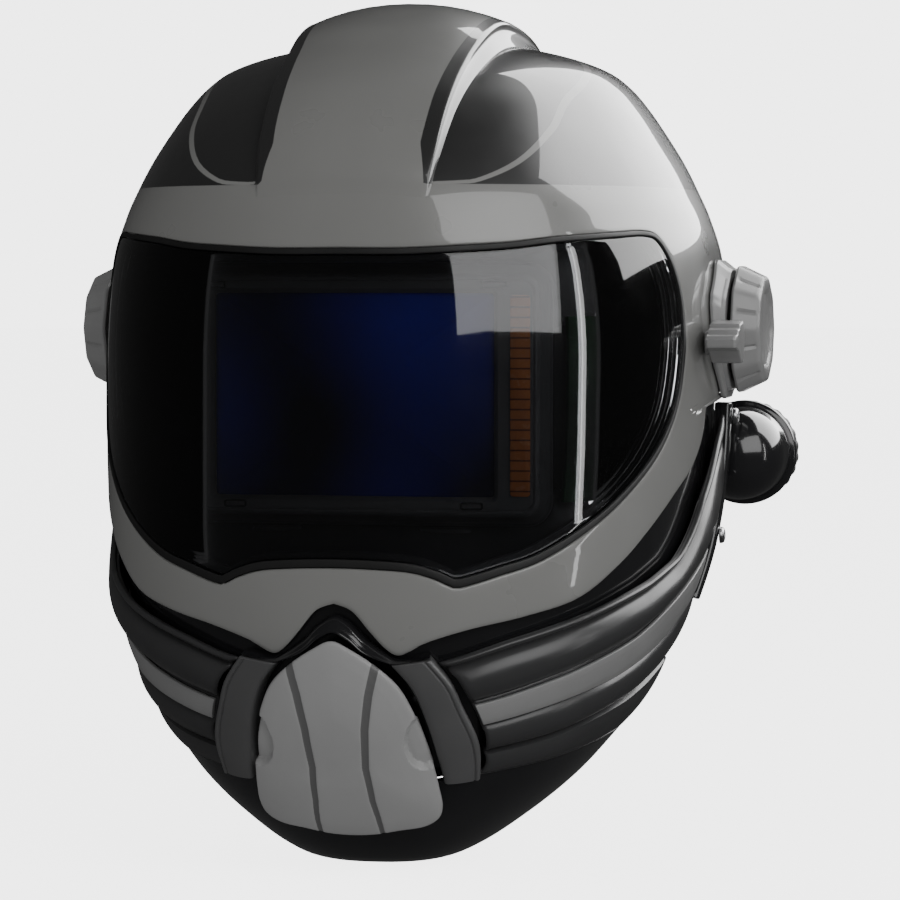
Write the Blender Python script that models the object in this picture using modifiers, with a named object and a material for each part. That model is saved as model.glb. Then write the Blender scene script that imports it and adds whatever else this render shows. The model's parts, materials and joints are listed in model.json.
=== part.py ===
"""Powered air respirator head-top: welding shield, respirator base and headgear.

Millimetres in the driving dimensions, metres in the meshes. The wearer looks along -Y, +Z is up and
the origin is the middle of the pivot axis that runs along X through both side knobs.
"""
import bmesh
import bpy
import math
import numpy as np
from mathutils import Vector

# ---------------------------------------------------------------- driving dimensions (mm, degrees)
MM = 0.001
SECTION_POWER = 2.3          # superellipse power of the level sections
# level sections of the outer surface: z, half width, front y, rear y, y of the widest point
SECTIONS = [
    (-188, 1, -66, -64, -65), (-186.5, 22, -86, -44, -64), (-181, 36, -97, -34, -61),
    (-170, 52, -108, -20, -55), (-159, 65, -116, -8, -49), (-148, 75, -122, 2, -43),
    (-131, 88, -130, 18, -35), (-113, 97, -135, 36, -28), (-95, 103.5, -137, 52, -22),
    (-76, 108, -137, 66, -15), (-53, 110.5, -136, 82, -9), (-29, 111.5, -135, 92, -6),
    (0, 111.5, -134, 100, -5), (25, 109, -132.5, 104, -4), (40, 104.5, -130, 103, -4),
    (50, 100, -127, 102, -4), (60, 95, -121, 99, -4), (70, 89, -112, 94, -5),
    (80, 82.5, -98.5, 86, -7), (88, 76, -83, 77, -9), (94, 68, -68, 66, -11),
    (99, 54, -54, 50, -12), (103, 34, -38, 25, -14), (105, 16, -25, 2, -15), (105.6, 0.5, -16, -14, -15),
]
SHELL = 2.5                  # shield wall
GAP = 0.4                    # clearance between neighbouring pieces
# half of the visor outline, centre top to centre bottom: angle from the front, height
VISOR_HALF = [(0, 29), (12, 29), (23, 30), (31, 31), (40, 33), (52, 34.5), (59, 35), (63, 33), (66, 25),
              (68, 14), (68.6, 2), (68.4, -8), (66.2, -26), (61, -42), (53, -57), (45.5, -68), (37, -77.5),
              (30, -82), (25, -85), (22, -86), (19, -83.5), (14, -80.8), (7, -79.8), (0, -79.5)]
# half of the shield's free edge, nose notch to crown rear
EDGE_HALF = [(0, -91.5), (3.5, -94), (7, -101), (10, -106.5), (12.5, -109), (15, -107.5), (18, -104.5), (26, -100),
             (36, -96), (46, -90.5), (54, -79.5), (60, -69), (67, -57), (73, -48), (77, -38), (79, -26),
             (83, -24), (92, -24), (101, -20), (106, -8), (108, 12), (110, 34), (114, 56), (122, 74),
             (134, 88), (150, 95), (166, 97.5), (180, 98)]
# jaw duct rib lines on one side: angle to height
RIB_TOP = [(20, -111), (34, -103.5), (49, -95.5), (63, -86.5), (72, -79), (76, -71), (80, -59), (88, -40), (97, -27)]
STRIPE_TOP = [(20, -129), (29, -125.5), (48, -116), (64, -105.5), (77, -93), (88, -83), (97, -74)]
STRIPE_LOW = [(20, -137), (32, -134), (48, -127.5), (63, -120.5), (74, -113), (86, -101.5), (97, -91)]
RIB2_LOW = [(20, -147), (36, -143), (53, -138), (67, -131), (78, -125), (97, -113)]
RIB3_LOW = [(0, -156), (20, -154.5), (39, -151), (55, -148), (68, -145), (86, -141.5), (97, -139)]
BRACKET_OUT = [(19, -109.5), (23.5, -118), (27, -127.5), (32, -139), (35.3, -150.8)]
BRACKET_IN = [(11.5, -111.5), (15.5, -119), (18.5, -128), (22.5, -141), (26.5, -152.5)]
CAP_HALF = [(0, -103.5), (4, -106.5), (9, -112), (13, -118), (16, -125.5), (20, -137.5), (25, -152.5),
            (28, -160), (28.5, -164.5), (25, -167.5), (17, -169), (9, -170.5), (0, -171)]
PIVOT_R = 5.0                # pivot post radius
KNOB = dict(x0=117.2, x1=127.2, r0=23.3, r1=18.6, facets=10)
BOSS_X = 115.6               # outer face of the pivot boss
ADF_Y = -110.0               # front face of the filter cartridge
ADF_Z = -21.5                # its centre height
LCD = (49.5, 35.0)           # half size of the viewing window
INLET = (111.5, 50.0, -47.0)  # middle of the hose inlet's rim
HEAD = dict(cy=20.0, a=79.0, b=88.0)   # headband oval
SEG = 14

for ob in list(bpy.data.objects):
    bpy.data.objects.remove(ob, do_unlink=True)

# ---------------------------------------------------------------- collections and materials
OBJ = bpy.data.collections.new("powered_air_respirator")
CUT = bpy.data.collections.new("cutters")
for c in (OBJ, CUT):
    bpy.context.scene.collection.children.link(c)


def material(name, rgb, rough, metal=0.0, alpha=1.0):
    m = bpy.data.materials.new(name)
    m.use_nodes = True
    b = m.node_tree.nodes["Principled BSDF"]
    b.inputs["Base Color"].default_value = (*rgb, 1)
    b.inputs["Roughness"].default_value = rough
    b.inputs["Metallic"].default_value = metal
    b.inputs["Alpha"].default_value = alpha
    m.diffuse_color = (*rgb, alpha)
    return m


MAT = dict(
    shell=material("shell_gray", (0.25, 0.25, 0.24), 0.3), ridge=material("ridge_gray", (0.3, 0.3, 0.29), 0.3),
    black=material("gloss_black", (0.015, 0.015, 0.015), 0.15), jaw=material("jaw_gray", (0.05, 0.05, 0.05), 0.35),
    stripe=material("stripe_gray", (0.22, 0.22, 0.22), 0.4), cap=material("cap_gray", (0.3, 0.3, 0.3), 0.4),
    bracket=material("bracket_gray", (0.1, 0.1, 0.1), 0.4), knob=material("knob_gray", (0.22, 0.22, 0.22), 0.4),
    visor=material("visor_smoke", (0.03, 0.03, 0.035), 0.05, alpha=0.5), rubber=material("rubber_black", (0.02, 0.02, 0.02), 0.7),
    matte=material("matte_black", (0.03, 0.03, 0.03), 0.55), lcd=material("filter_blue", (0.01, 0.01, 0.1), 0.05),
    solar=material("solar_brown", (0.2, 0.07, 0.02), 0.3), green=material("filter_green", (0.01, 0.06, 0.02), 0.05),
    clear=material("clear_lens", (0.8, 0.82, 0.85), 0.05, alpha=0.3), steel=material("steel", (0.5, 0.5, 0.5), 0.35, 1.0),
    pad=material("pad_fabric", (0.06, 0.06, 0.07), 0.9), band=material("band_plastic", (0.04, 0.04, 0.045), 0.5),
)


# ---------------------------------------------------------------- the outer surface
def spline(table, k):
    """Catmull-Rom through the rows of a table at the real-valued row numbers k."""
    t = np.asarray(table, float)
    n = len(t)
    i = np.clip(np.floor(k).astype(int), 0, n - 2)
    f = (np.asarray(k, float) - i)[..., None]
    a, b, c, d = t[np.clip(i - 1, 0, n - 1)], t[i], t[i + 1], t[np.clip(i + 2, 0, n - 1)]
    return 0.5 * (2 * b + (c - a) * f + (2 * a - 5 * b + 4 * c - d) * f**2 + (3 * b - a - 3 * c + d) * f**3)


ROWS = spline(SECTIONS, np.linspace(0, len(SECTIONS) - 1, 3001))
STEP = np.hypot(np.diff(ROWS[:, 0]), np.diff(ROWS[:, 2]))
LENGTH = np.concatenate([[0], np.cumsum(STEP)])      # along the front profile from the chin pole
TOTAL = LENGTH[-1]


def level(z):
    """Front profile length at a height."""
    return np.interp(z, ROWS[:, 0], LENGTH)


def raw(length, deg):
    row = [np.interp(length, LENGTH, ROWS[:, j]) for j in range(5)]
    th = np.radians(deg)
    s, c = np.sin(th), np.cos(th)
    r = (np.abs(s) ** SECTION_POWER + np.abs(c) ** SECTION_POWER) ** (-1 / SECTION_POWER)
    a = np.where(c > 0, row[4] - row[2], row[3] - row[4])
    return np.stack([row[1] * r * s, row[4] - a * r * c, row[0] + 0 * th], -1)


def surf(length, deg, off=0.0):
    """Point of the outer surface at a profile length and an angle from the front, moved out by off."""
    length, deg, off = np.broadcast_arrays(np.asarray(length, float), np.asarray(deg, float), np.asarray(off, float))
    p = raw(length, deg)
    e = 0.6
    du = raw(np.clip(length + e, 0, TOTAL), deg) - raw(np.clip(length - e, 0, TOTAL), deg)
    dv = raw(length, deg + e) - raw(length, deg - e)
    n = np.cross(dv, du)
    n = n / np.maximum(np.linalg.norm(n, axis=-1), 1e-9)[..., None]
    return p + n * off[..., None]


def on(z, deg, off=0.0):
    return surf(level(np.asarray(z, float)), deg, off)


CORE = np.array([0.0, -10.0, -5.0])      # inside point that the front chart looks out from


def inside(p):
    row = [np.interp(p[..., 2], ROWS[:, 0], ROWS[:, j]) for j in range(5)]
    a = np.where(p[..., 1] < row[4], row[4] - row[2], row[3] - row[4])
    g = (np.abs(p[..., 0]) / row[1]) ** SECTION_POWER + (np.abs(p[..., 1] - row[4]) / a) ** SECTION_POWER
    return (g < 1) & (p[..., 2] < ROWS[-1, 0]) & (p[..., 2] > ROWS[0, 0])


def cast(u, v):
    """Point of the outer surface seen from the core: u to +X and v up, 100 to the radian from -Y."""
    rho = np.maximum(np.hypot(u, v), 1e-9)
    k = np.sin(rho / 100) / rho
    d = np.stack([u * k, -np.cos(rho / 100), v * k], -1)
    lo, hi = np.zeros(rho.shape), np.full(rho.shape, 260.0)
    for _ in range(36):
        m = 0.5 * (lo + hi)
        ok = inside(CORE + d * m[..., None])
        lo, hi = np.where(ok, m, lo), np.where(ok, hi, m)
    return CORE + d * lo[..., None]


def chart(u, v, off=0.0):
    """Point of the outer surface from its place in the front chart, moved out by off."""
    u, v, off = np.broadcast_arrays(np.asarray(u, float), np.asarray(v, float), np.asarray(off, float))
    p, e = cast(u, v), 0.8
    n = np.cross(cast(u + e, v) - cast(u - e, v), cast(u, v + e) - cast(u, v - e))
    n = n / np.maximum(np.linalg.norm(n, axis=-1), 1e-9)[..., None]
    return p + n * off[..., None]


def seen(points):
    """Place in the front chart of points in space."""
    d = np.asarray(points, float) - CORE
    d = d / np.linalg.norm(d, axis=-1)[..., None]
    r = np.arccos(np.clip(-d[..., 1], -1, 1))
    k = 100 * r / np.maximum(np.sin(r), 1e-9)
    return np.stack([d[..., 0] * k, d[..., 2] * k], -1)


def side_x(y, z):
    """Half width of the outer surface at a given y and z."""
    row = [np.interp(z, ROWS[:, 0], ROWS[:, j]) for j in range(5)]
    a = np.where(y < row[4], row[4] - row[2], row[3] - row[4])
    return row[1] * (1 - np.minimum(np.abs(y - row[4]) / a, 0.999) ** SECTION_POWER) ** (1 / SECTION_POWER)


# ---------------------------------------------------------------- mesh helpers
def add(name, verts, faces, mat, smooth=35, coll=None):
    me = bpy.data.meshes.new(name)
    me.from_pydata([tuple(float(c) * MM for c in v) for v in verts], [], faces)
    me.validate()
    me.update()
    ob = bpy.data.objects.new(name, me)
    (coll or OBJ).objects.link(ob)
    me.materials.append(MAT[mat])
    if smooth:
        me.shade_smooth()
        me.set_sharp_from_angle(angle=math.radians(smooth))
    return ob


def outward(verts, faces):
    """Turn a closed mesh's faces outward."""
    v = np.asarray(verts, float)
    vol = 0.0
    for f in faces:
        a = v[f[0]]
        for i in range(1, len(f) - 1):
            vol += np.dot(a, np.cross(v[f[i]], v[f[i + 1]]))
    return faces if vol > 0 else [tuple(reversed(f)) for f in faces]


def rings(name, loops, mat, caps=True, closed=False, smooth=35, flat_caps=False):
    """Closed body through loops with the same number of points. closed joins the last to the first."""
    n, m = len(loops[0]), len(loops)
    verts = [p for lp in loops for p in lp]
    faces = []
    for j in range(m if closed else m - 1):
        a, b = j * n, ((j + 1) % m) * n
        faces += [(a + i, a + (i + 1) % n, b + (i + 1) % n, b + i) for i in range(n)]
    if caps and not closed:
        for j, flip in ((0, True), (m - 1, False)):
            idx = [j * n + i for i in range(n)]
            if flat_caps:                            # a strip of quads across two facing rows
                h = n // 2
                quads = [(idx[i], idx[i + 1], idx[n - 2 - i], idx[n - 1 - i]) for i in range(h - 1)]
                faces += [tuple(reversed(q)) for q in quads] if flip else quads
                continue
            c = np.mean([verts[i] for i in idx], 0)
            verts.append(c)
            k = len(verts) - 1
            faces += [(k, idx[(i + 1) % n], idx[i]) if flip else (k, idx[i], idx[(i + 1) % n]) for i in range(n)]
    return add(name, verts, outward(verts, faces), mat, smooth)


def surface(name, grid, thick, mat, wrap=False, middle_point=None, smooth=35):
    """Wall of even thickness: an open surface through a grid of points, thickened inward by Solidify.

    wrap joins the first index round, and middle_point closes the first row of a wrapped grid.
    """
    g = np.asarray(grid, float)
    nu, nv = g.shape[:2]
    verts = list(g.reshape(-1, 3))
    faces = []
    for i in range(nu if wrap else nu - 1):
        k = (i + 1) % nu
        faces += [(i * nv + j, k * nv + j, k * nv + j + 1, i * nv + j + 1) for j in range(nv - 1)]
        if middle_point is not None:
            faces.append((nu * nv, k * nv, i * nv))
    if middle_point is not None:
        verts.append(np.asarray(middle_point, float))
    v = np.asarray(verts)
    facing = sum(float(np.dot(np.mean(v[list(f)], 0) - CORE - (0, 20, -30),
                              np.cross(v[f[1]] - v[f[0]], v[f[2]] - v[f[1]]))) for f in faces)
    if facing < 0:
        faces = [tuple(reversed(f)) for f in faces]
    ob = add(name, verts, faces, mat, smooth)
    t = ob.modifiers.new("split", "TRIANGULATE")
    t.quad_method = "SHORTEST_DIAGONAL"
    m = ob.modifiers.new("wall", "SOLIDIFY")
    m.thickness, m.offset = thick * MM, -1
    return ob


def slab(name, top, low, mat, smooth=35):
    """Closed body between two grids of points of the same shape, for a wall whose thickness varies."""
    top, low = np.asarray(top, float), np.asarray(low, float)
    nu, nv = top.shape[:2]
    loops = []
    for i in range(nu):
        loops.append(list(top[i]) + list(low[i][::-1]))
    return rings(name, loops, mat, smooth=smooth, flat_caps=True)


def turned(name, profile, axis, centre, mat, n=SEG, closed=False, smooth=35, coll=None):
    """Body turned round an axis by Screw: profile is a list of (distance along the axis, radius)."""
    pts = [(r, d) for d, r in profile]
    area = sum(a[0] * b[1] - b[0] * a[1] for a, b in zip(pts, pts[1:] + pts[:1]))
    ends_on_axis = [(0.0, profile[0][0])] + pts + [(0.0, profile[-1][0])]
    if not closed:
        area = sum(a[0] * b[1] - b[0] * a[1] for a, b in zip(ends_on_axis, ends_on_axis[1:] + ends_on_axis[:1]))
        keep = []
        for q in ends_on_axis:
            if not keep or math.hypot(q[0] - keep[-1][0], q[1] - keep[-1][1]) > 1e-6:
                keep.append(q)
        pts = keep
    if area > 0:
        pts = pts[::-1]
    me = bpy.data.meshes.new(name)
    edges = [(i, i + 1) for i in range(len(pts) - 1)] + ([(len(pts) - 1, 0)] if closed else [])
    me.from_pydata([(r * MM, 0, d * MM) for r, d in pts], edges, [])
    me.materials.append(MAT[mat])
    ob = bpy.data.objects.new(name, me)
    (coll or OBJ).objects.link(ob)
    m = ob.modifiers.new("turn", "SCREW")
    m.steps = m.render_steps = n
    m.use_merge_vertices, m.merge_threshold = True, 1e-5
    m.use_smooth_shade = True
    ob.location = tuple(c * MM for c in centre)
    ob.rotation_euler = {"x": (0, math.pi / 2, 0), "y": (-math.pi / 2, 0, 0), "z": (0, 0, 0)}[axis]
    return ob


def box(name, size, centre, mat, bevel=0.0):
    """Box primitive with bevelled edges."""
    me = bpy.data.meshes.new(name)
    bm = bmesh.new()
    bmesh.ops.create_cube(bm, size=1.0)
    for v in bm.verts:
        v.co = (v.co.x * size[0] * MM, v.co.y * size[1] * MM, v.co.z * size[2] * MM)
    bm.to_mesh(me)
    bm.free()
    me.materials.append(MAT[mat])
    ob = bpy.data.objects.new(name, me)
    OBJ.objects.link(ob)
    ob.location = tuple(c * MM for c in centre)
    if bevel:
        m = ob.modifiers.new("edges", "BEVEL")
        m.width, m.segments = bevel * MM, 1
    return ob


def cone(name, r0, r1, x0, x1, facets, mat, bevel, s):
    """Faceted frustum along X from x0 to x1, bevelled."""
    me = bpy.data.meshes.new(name)
    bm = bmesh.new()
    bmesh.ops.create_cone(bm, cap_ends=True, segments=facets, radius1=r0 * MM, radius2=r1 * MM, depth=(x1 - x0) * MM)
    bmesh.ops.translate(bm, verts=bm.verts, vec=(0, 0, (x1 - x0) * MM / 2))
    bm.to_mesh(me)
    bm.free()
    me.materials.append(MAT[mat])
    ob = bpy.data.objects.new(name, me)
    OBJ.objects.link(ob)
    ob.location = (s * x0 * MM, 0, 0)
    ob.rotation_euler = (0, s * math.pi / 2, 0)
    m = ob.modifiers.new("edges", "BEVEL")
    m.width, m.segments = bevel * MM, 2
    return ob


def resample(points, n, closed=False, rounded=True):
    """n points evenly spaced along a smooth curve through the given ones."""
    p = np.asarray(points, float)
    if closed:
        p = np.vstack([p[-2:], p, p[:3]])
        dense = spline(p, np.linspace(2, len(p) - 3, 4000))
    elif rounded:
        dense = spline(p, np.linspace(0, len(p) - 1, 4000))
    else:
        return p
    d = np.concatenate([[0], np.cumsum(np.linalg.norm(np.diff(dense, axis=0), axis=1))])
    s = np.linspace(0, d[-1], n + 1)[:-1] if closed else np.linspace(0, d[-1], n)
    return np.stack([np.interp(s, d, dense[:, j]) for j in range(dense.shape[1])], -1)


def at(table, deg):
    """Height of a line given as angle to height, at angles of either sign."""
    t = np.asarray(table, float)
    k = np.interp(np.abs(deg), t[:, 0], np.arange(len(t)))
    return spline(t, k)[..., 1]


def mirror_loop(half):
    """Whole outline from its half: down the +X side and back up the other."""
    h = [tuple(p) for p in half]
    return h + [(-a, z) for a, z in reversed(h[1:-1])]


def to_chart(loop):
    loop = np.asarray(loop, float)
    return seen(raw(level(loop[:, 1]), loop[:, 0]))


def grow(loop, d):
    """Move a closed planar outline outward by d along its own normals (loops here run clockwise)."""
    p = np.asarray(loop, float)
    t = np.roll(p, -1, 0) - np.roll(p, 1, 0)
    t /= np.linalg.norm(t, axis=1)[:, None]
    n = np.stack([t[:, 1], -t[:, 0]], -1)
    area = 0.5 * np.sum(p[:, 0] * np.roll(p[:, 1], -1) - np.roll(p[:, 0], -1) * p[:, 1])
    return p + n * d * (1 if area > 0 else -1)


def strip(loop_in, loop_out, rows):
    """Grid in the chart between two matching closed outlines."""
    k = np.linspace(0, 1, rows)[None, :, None]
    return loop_in[:, None, :] * (1 - k) + loop_out[:, None, :] * k


def cut(ob, cutter):
    cutter.hide_render = True
    cutter.display_type = "WIRE"
    m = ob.modifiers.new("cut_" + cutter.name, "BOOLEAN")
    m.operation, m.solver, m.object = "DIFFERENCE", "EXACT", cutter


def cutter(name, profile, axis, centre, n=SEG):
    return turned(name, profile, axis, centre, "black", n, coll=CUT)


def ray_match(inner, outer, centre):
    """Points of the outer outline in the same directions from the centre as the inner points."""
    o = np.asarray(outer, float) - centre
    ang = np.arctan2(o[:, 1], o[:, 0])
    order = np.argsort(ang)
    ang, o = ang[order], o[order]
    rad = np.hypot(o[:, 0], o[:, 1])
    i = np.asarray(inner, float) - centre
    a = np.arctan2(i[:, 1], i[:, 0])
    r = np.interp(a, np.r_[ang[-1] - 2 * math.pi, ang, ang[0] + 2 * math.pi], np.r_[rad[-1], rad, rad[0]])
    return centre + np.stack([r * np.cos(a), r * np.sin(a)], -1)


# ---------------------------------------------------------------- shield: shell, ridge, visor and its frame
VN = 64
half_edge = to_chart(resample(EDGE_HALF, 800))
edge_line = np.vstack([half_edge, (half_edge * (-1, 1))[::-1][1:-1]])
middle = np.array([0.0, -20.0])
edge_dense = resample(edge_line, 1600, closed=True)


# directions from the middle, shared evenly between the visor's outline and the free edge
around = np.linspace(-math.pi, math.pi, 721)


def share(loop):
    d = np.sort(np.arctan2(loop[:, 1] - middle[1], loop[:, 0] - middle[0]))
    return np.searchsorted(d, around) / len(d)


visor_dense = resample(to_chart(resample(mirror_loop(VISOR_HALF), 800, closed=True)), 1600, closed=True)
notch = np.clip((around + math.pi / 2) / math.radians(36) + 0.5, 0, 1)      # and more at the nose notch
mix = np.interp((np.arange(VN) + 0.5) / VN, 0.58 * share(visor_dense) + 0.26 * share(edge_dense) + 0.16 * notch, around)
unit = np.stack([np.cos(mix), np.sin(mix)], -1) + middle
hole = ray_match(unit, visor_dense, middle)
outer = ray_match(unit, edge_dense, middle)
near = grow(hole, 5.0)
grid = np.concatenate([hole[:, None, :], strip(near, outer, 5)], 1)
shield = surface("shield_shell", chart(grid[..., 0], grid[..., 1]), SHELL, "shell", wrap=True)
for side, s in (("left", 1), ("right", -1)):
    cut(shield, cutter("cut_shield_" + side, [(-12, 9.0), (12, 9.0)], "x", (s * 110, 0, 0)))


def visor_sheet(name, d, off, thick, mat):
    out = grow(hole, d)
    k = np.array([0.25, 0.5, 0.76, 1.0])[None, :, None]
    g = middle * (1 - k) + grow(hole, d - 6.0)[:, None, :] * k
    g = np.concatenate([g, out[:, None, :]], 1)
    m = chart(middle[0:1], middle[1:2], off)[0]
    return surface(name, chart(g[..., 0], g[..., 1], off), thick, mat, wrap=True, middle_point=m)


visor_sheet("visor", -2.0, -0.3, 2.0, "visor")
g = strip(grow(hole, -1.7), grow(hole, -0.3), 2)
surface("visor_seal", chart(g[..., 0], g[..., 1], 0.1), 2.4, "rubber", wrap=True)
g = strip(grow(hole, -3.4), grow(hole, 3.5), 2)
surface("visor_frame", chart(g[..., 0], g[..., 1], -SHELL - 2.6), 1.6, "matte", wrap=True)

# raised crown panel: y and z of the middle line, half width, height at the edge, further rise to the middle
RIDGE = [(-127, 53.5, 32, 1.2, 0.3), (-122, 60, 32.5, 2.3, 0.4), (-101, 78.5, 34, 4.6, 1.2), (-74, 92, 35.5, 6.5, 2.4),
         (-40, 102.5, 37.5, 8.6, 4.4), (-25, 104.4, 38, 8.6, 4.4), (-8, 105.3, 38.5, 7.6, 3.6), (20, 103, 38, 6.0, 2.4),
         (42, 99.5, 36.5, 4.5, 1.5)]
st = resample(RIDGE, 13)
loops = []
for y, z, hw, h, rise in st:
    wall = min(1.0 + 0.28 * h, 4.0)
    xs = [(-hw, 0.9), (-hw + 0.25 * wall, h * 0.5 + 0.45), (-hw + wall, h), (-hw * 0.5, h + 0.75 * rise), (0, h + rise),
          (hw * 0.5, h + 0.75 * rise), (hw - wall, h), (hw - 0.25 * wall, h * 0.5 + 0.45), (hw, 0.9),
          (hw * 0.5, 0.9), (0, 0.9), (-hw * 0.5, 0.9)]
    uv = seen(np.array([(x, y, z) for x, o in xs]))
    loops.append(list(chart(uv[:, 0], uv[:, 1], np.array([o for x, o in xs]))))
rings("crown_ridge", loops, "ridge", smooth=30)


# ---------------------------------------------------------------- shield: pivot bosses, knobs, lever
def boss_radius(a):
    """Eight sided flange with a longer front corner."""
    seg = math.radians(45)
    flat = 1 / math.cos((a + seg / 2) % seg - seg / 2)
    return 25.0 * flat * (1 + 0.12 * max(0.0, -math.cos(a)) ** 3)


def boss(name, s):
    n = 24
    ang = [2 * math.pi * i / n for i in range(n)]
    ks = [0.0, 0.5, 1.0]
    inner = []
    for k in ks:
        lp = []
        for a in ang:
            r = 6.6 + k * (boss_radius(a) - 6.6)
            y, z = r * math.cos(a), r * math.sin(a)
            lp.append((s * (side_x(y, z) + GAP), y, z))
        inner.append(lp)
    outer = []
    for x, k in ((None, 1.0), (BOSS_X - 1.2, 0.84), (BOSS_X, 0.80), (BOSS_X, 0.0)):
        lp = []
        for a in ang:
            r = 6.6 + k * (boss_radius(a) - 6.6)
            y, z = r * math.cos(a), r * math.sin(a)
            xx = side_x(y, z) + GAP + 1.5 if x is None else x
            lp.append((s * xx, y, z))
        outer.append(lp)
    rings(name, inner + outer, "knob", caps=False, closed=True, smooth=30)


def knob(name, s):
    """Ten sided friction knob with a blind bore for the pivot post."""
    k = KNOB
    ob = cone(name, k["r0"], k["r1"], k["x0"], k["x1"], k["facets"], "knob", 0.8, s)
    bore = [(-4, PIVOT_R + 0.35), (8.6, PIVOT_R + 0.35)]
    cut(ob, cutter("cut_" + name, [(s * d, r) for d, r in bore], "x", (s * k["x0"], 0, 0)))


for side, s in (("left", 1), ("right", -1)):
    boss("pivot_boss_" + side, s)
    knob("tension_knob_" + side, s)
    turned("friction_ring_" + side, [(0, 19.5), (0.9, 20.2), (1.2, 19.5), (1.2, 6.0), (0, 6.0)], "x",
           (BOSS_X + 0.1, 0, 0) if s > 0 else (-BOSS_X - 1.3, 0, 0), "rubber", closed=True)

# latch lever on the wearer's left: round hub on the shell, stepped thumb piece standing out of it
LEVER_AXIS = (-35.5, -4.5)
lever = [(-17.0, 1.4), (-11.6, 3.6), (-11.2, 4.9), (-7.2, 5.7), (-6.8, 7.0), (0.0, 8.0), (2.6, 7.4), (3.4, 5.0), (3.4, 0.0),
         (2.0, -6.0), (-3.0, -7.0), (-16.4, -1.4)]
n = len(lever)
hub = [(4.4 * math.cos(t), 4.4 * math.sin(t)) for t in [math.radians(165 - 30 * i) for i in range(n)]]
LEVER_LOOPS = []
for x, k, src in ((110.6, 1.0, hub), (112.6, 1.0, hub), (113.0, 0.92, lever), (113.8, 1.0, lever), (123.0, 1.0, lever),
                  (124.0, 0.86, lever)):
    LEVER_LOOPS.append([(x, LEVER_AXIS[0] + yy * k, LEVER_AXIS[1] + zz * k) for yy, zz in src])
rings("latch_lever", LEVER_LOOPS, "knob", smooth=30)


# ---------------------------------------------------------------- shield: filter cartridge
def rounded(hx, hz, r, y, cz=0.0, n=16, cx=0.0):
    """Rounded rectangle in the XZ plane."""
    lp = []
    for i in range(n):
        q = i * 4 // n
        a = (i - q * n // 4) / (n // 4 - 1) * math.pi / 2 + q * math.pi / 2
        sx, sz = (1, -1, -1, 1)[q], (1, 1, -1, -1)[q]
        lp.append((cx + sx * (hx - r) + r * math.cos(a), y, cz + sz * (hz - r) + r * math.sin(a)))
    return lp


# bezel: flange behind, step forward round the window, hollow behind for the electronics
bezel = [(67.5, 45.5, 9, ADF_Y + 16), (67.5, 45.5, 9, ADF_Y + 12.5), (67.0, 44.5, 8, ADF_Y + 11), (65.6, 41.5, 6, ADF_Y + 1.2),
         (64.4, 40.3, 5, ADF_Y), (LCD[0] + 0.6, LCD[1] + 0.6, 2.0, ADF_Y), (LCD[0], LCD[1], 1.5, ADF_Y + 1.4),
         (LCD[0], LCD[1], 1.5, ADF_Y + 2.4), (56, 38.8, 4, ADF_Y + 2.6), (57.4, 40.2, 4, ADF_Y + 16)]
rings("filter_bezel", [rounded(a, b, r, y, ADF_Z) for a, b, r, y in bezel], "matte", caps=False, closed=True, smooth=30)
box("filter_glass", (103, 5.5, 74), (0, ADF_Y + 5.75, ADF_Z), "lcd", 0.8)
# window ring behind the glass: back of the cartridge
back = [(55.8, 38.4, 4, ADF_Y + 9.0), (55.8, 38.4, 4, ADF_Y + 15.5), (51, 36.5, 2, ADF_Y + 15.5), (51, 36.5, 2, ADF_Y + 9.0)]
rings("filter_back", [rounded(a, b, r, y, ADF_Z) for a, b, r, y in back], "matte", caps=False, closed=True, smooth=30)
box("inner_cover_plate", (100.6, 1.2, 71.6), (0, ADF_Y + 14.0, ADF_Z), "clear", 0.3)
for side, s in (("left", 1), ("right", -1)):
    box("solar_cell_" + side, (7.0, 0.6, 2 * LCD[1] - 1.2), (s * 59.0, ADF_Y - 0.6, ADF_Z), "solar")
    box("battery_drawer_" + side, (18, 5, 4.4), (s * 30, ADF_Y + 13, ADF_Z - 48.3), "matte", 0.6)
for i, (x, z) in enumerate(((-50, 37.9), (50, 37.9), (-42, -37.9), (42, -37.9))):
    box("arc_sensor_%d" % (i + 1), (9.2 if z > 0 else 8.0, 0.5, 2.6), (x, ADF_Y - 0.55, ADF_Z + z), "black")

# side windows: curved dark filters standing beside the cartridge
for side, s in (("left", 1), ("right", -1)):
    th, zz = np.meshgrid(np.linspace(42.5, 60, 6), np.linspace(-58, 6, 7), indexing="ij")
    cut_th = np.where(zz < -40, np.minimum(th, 60 - (-40 - zz) * 0.35), th)
    surface("side_window_" + side, on(zz, s * cut_th, -7.2), 2.0, "green", smooth=30)

# ---------------------------------------------------------------- respirator base: jaw frame, chin bowl, ducts
th = np.linspace(-97, 97, 29)
LIP = [(0, -88), (6, -91), (12, -99), (18, -97), (26, -92), (36, -88), (46, -82), (54, -72), (60, -61), (67, -49),
       (71, -38), (75, -24), (79, -4), (83, 12), (89, 20), (97, 20)]
zt, zb = at(LIP, th), at(RIB3_LOW, th) + 1.2
k = np.linspace(0, 1, 6)[None, :]
zz = zb[:, None] * (1 - k) + zt[:, None] * k
dd = np.broadcast_to(th[:, None], zz.shape)
tuck = -4.2
frame_ob = surface("jaw_frame", on(zz, dd, tuck), 2.2, "black")
for side, s in (("left", 1), ("right", -1)):
    cut(frame_ob, cutter("cut_frame_" + side, [(-14, 5.5), (14, 5.5)], "x", (s * 104, 0, 0)))
cut(frame_ob, cutter("cut_exhale", [(-14, 12.0), (14, 12.0)], "y", (0, -127, -130)))


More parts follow.
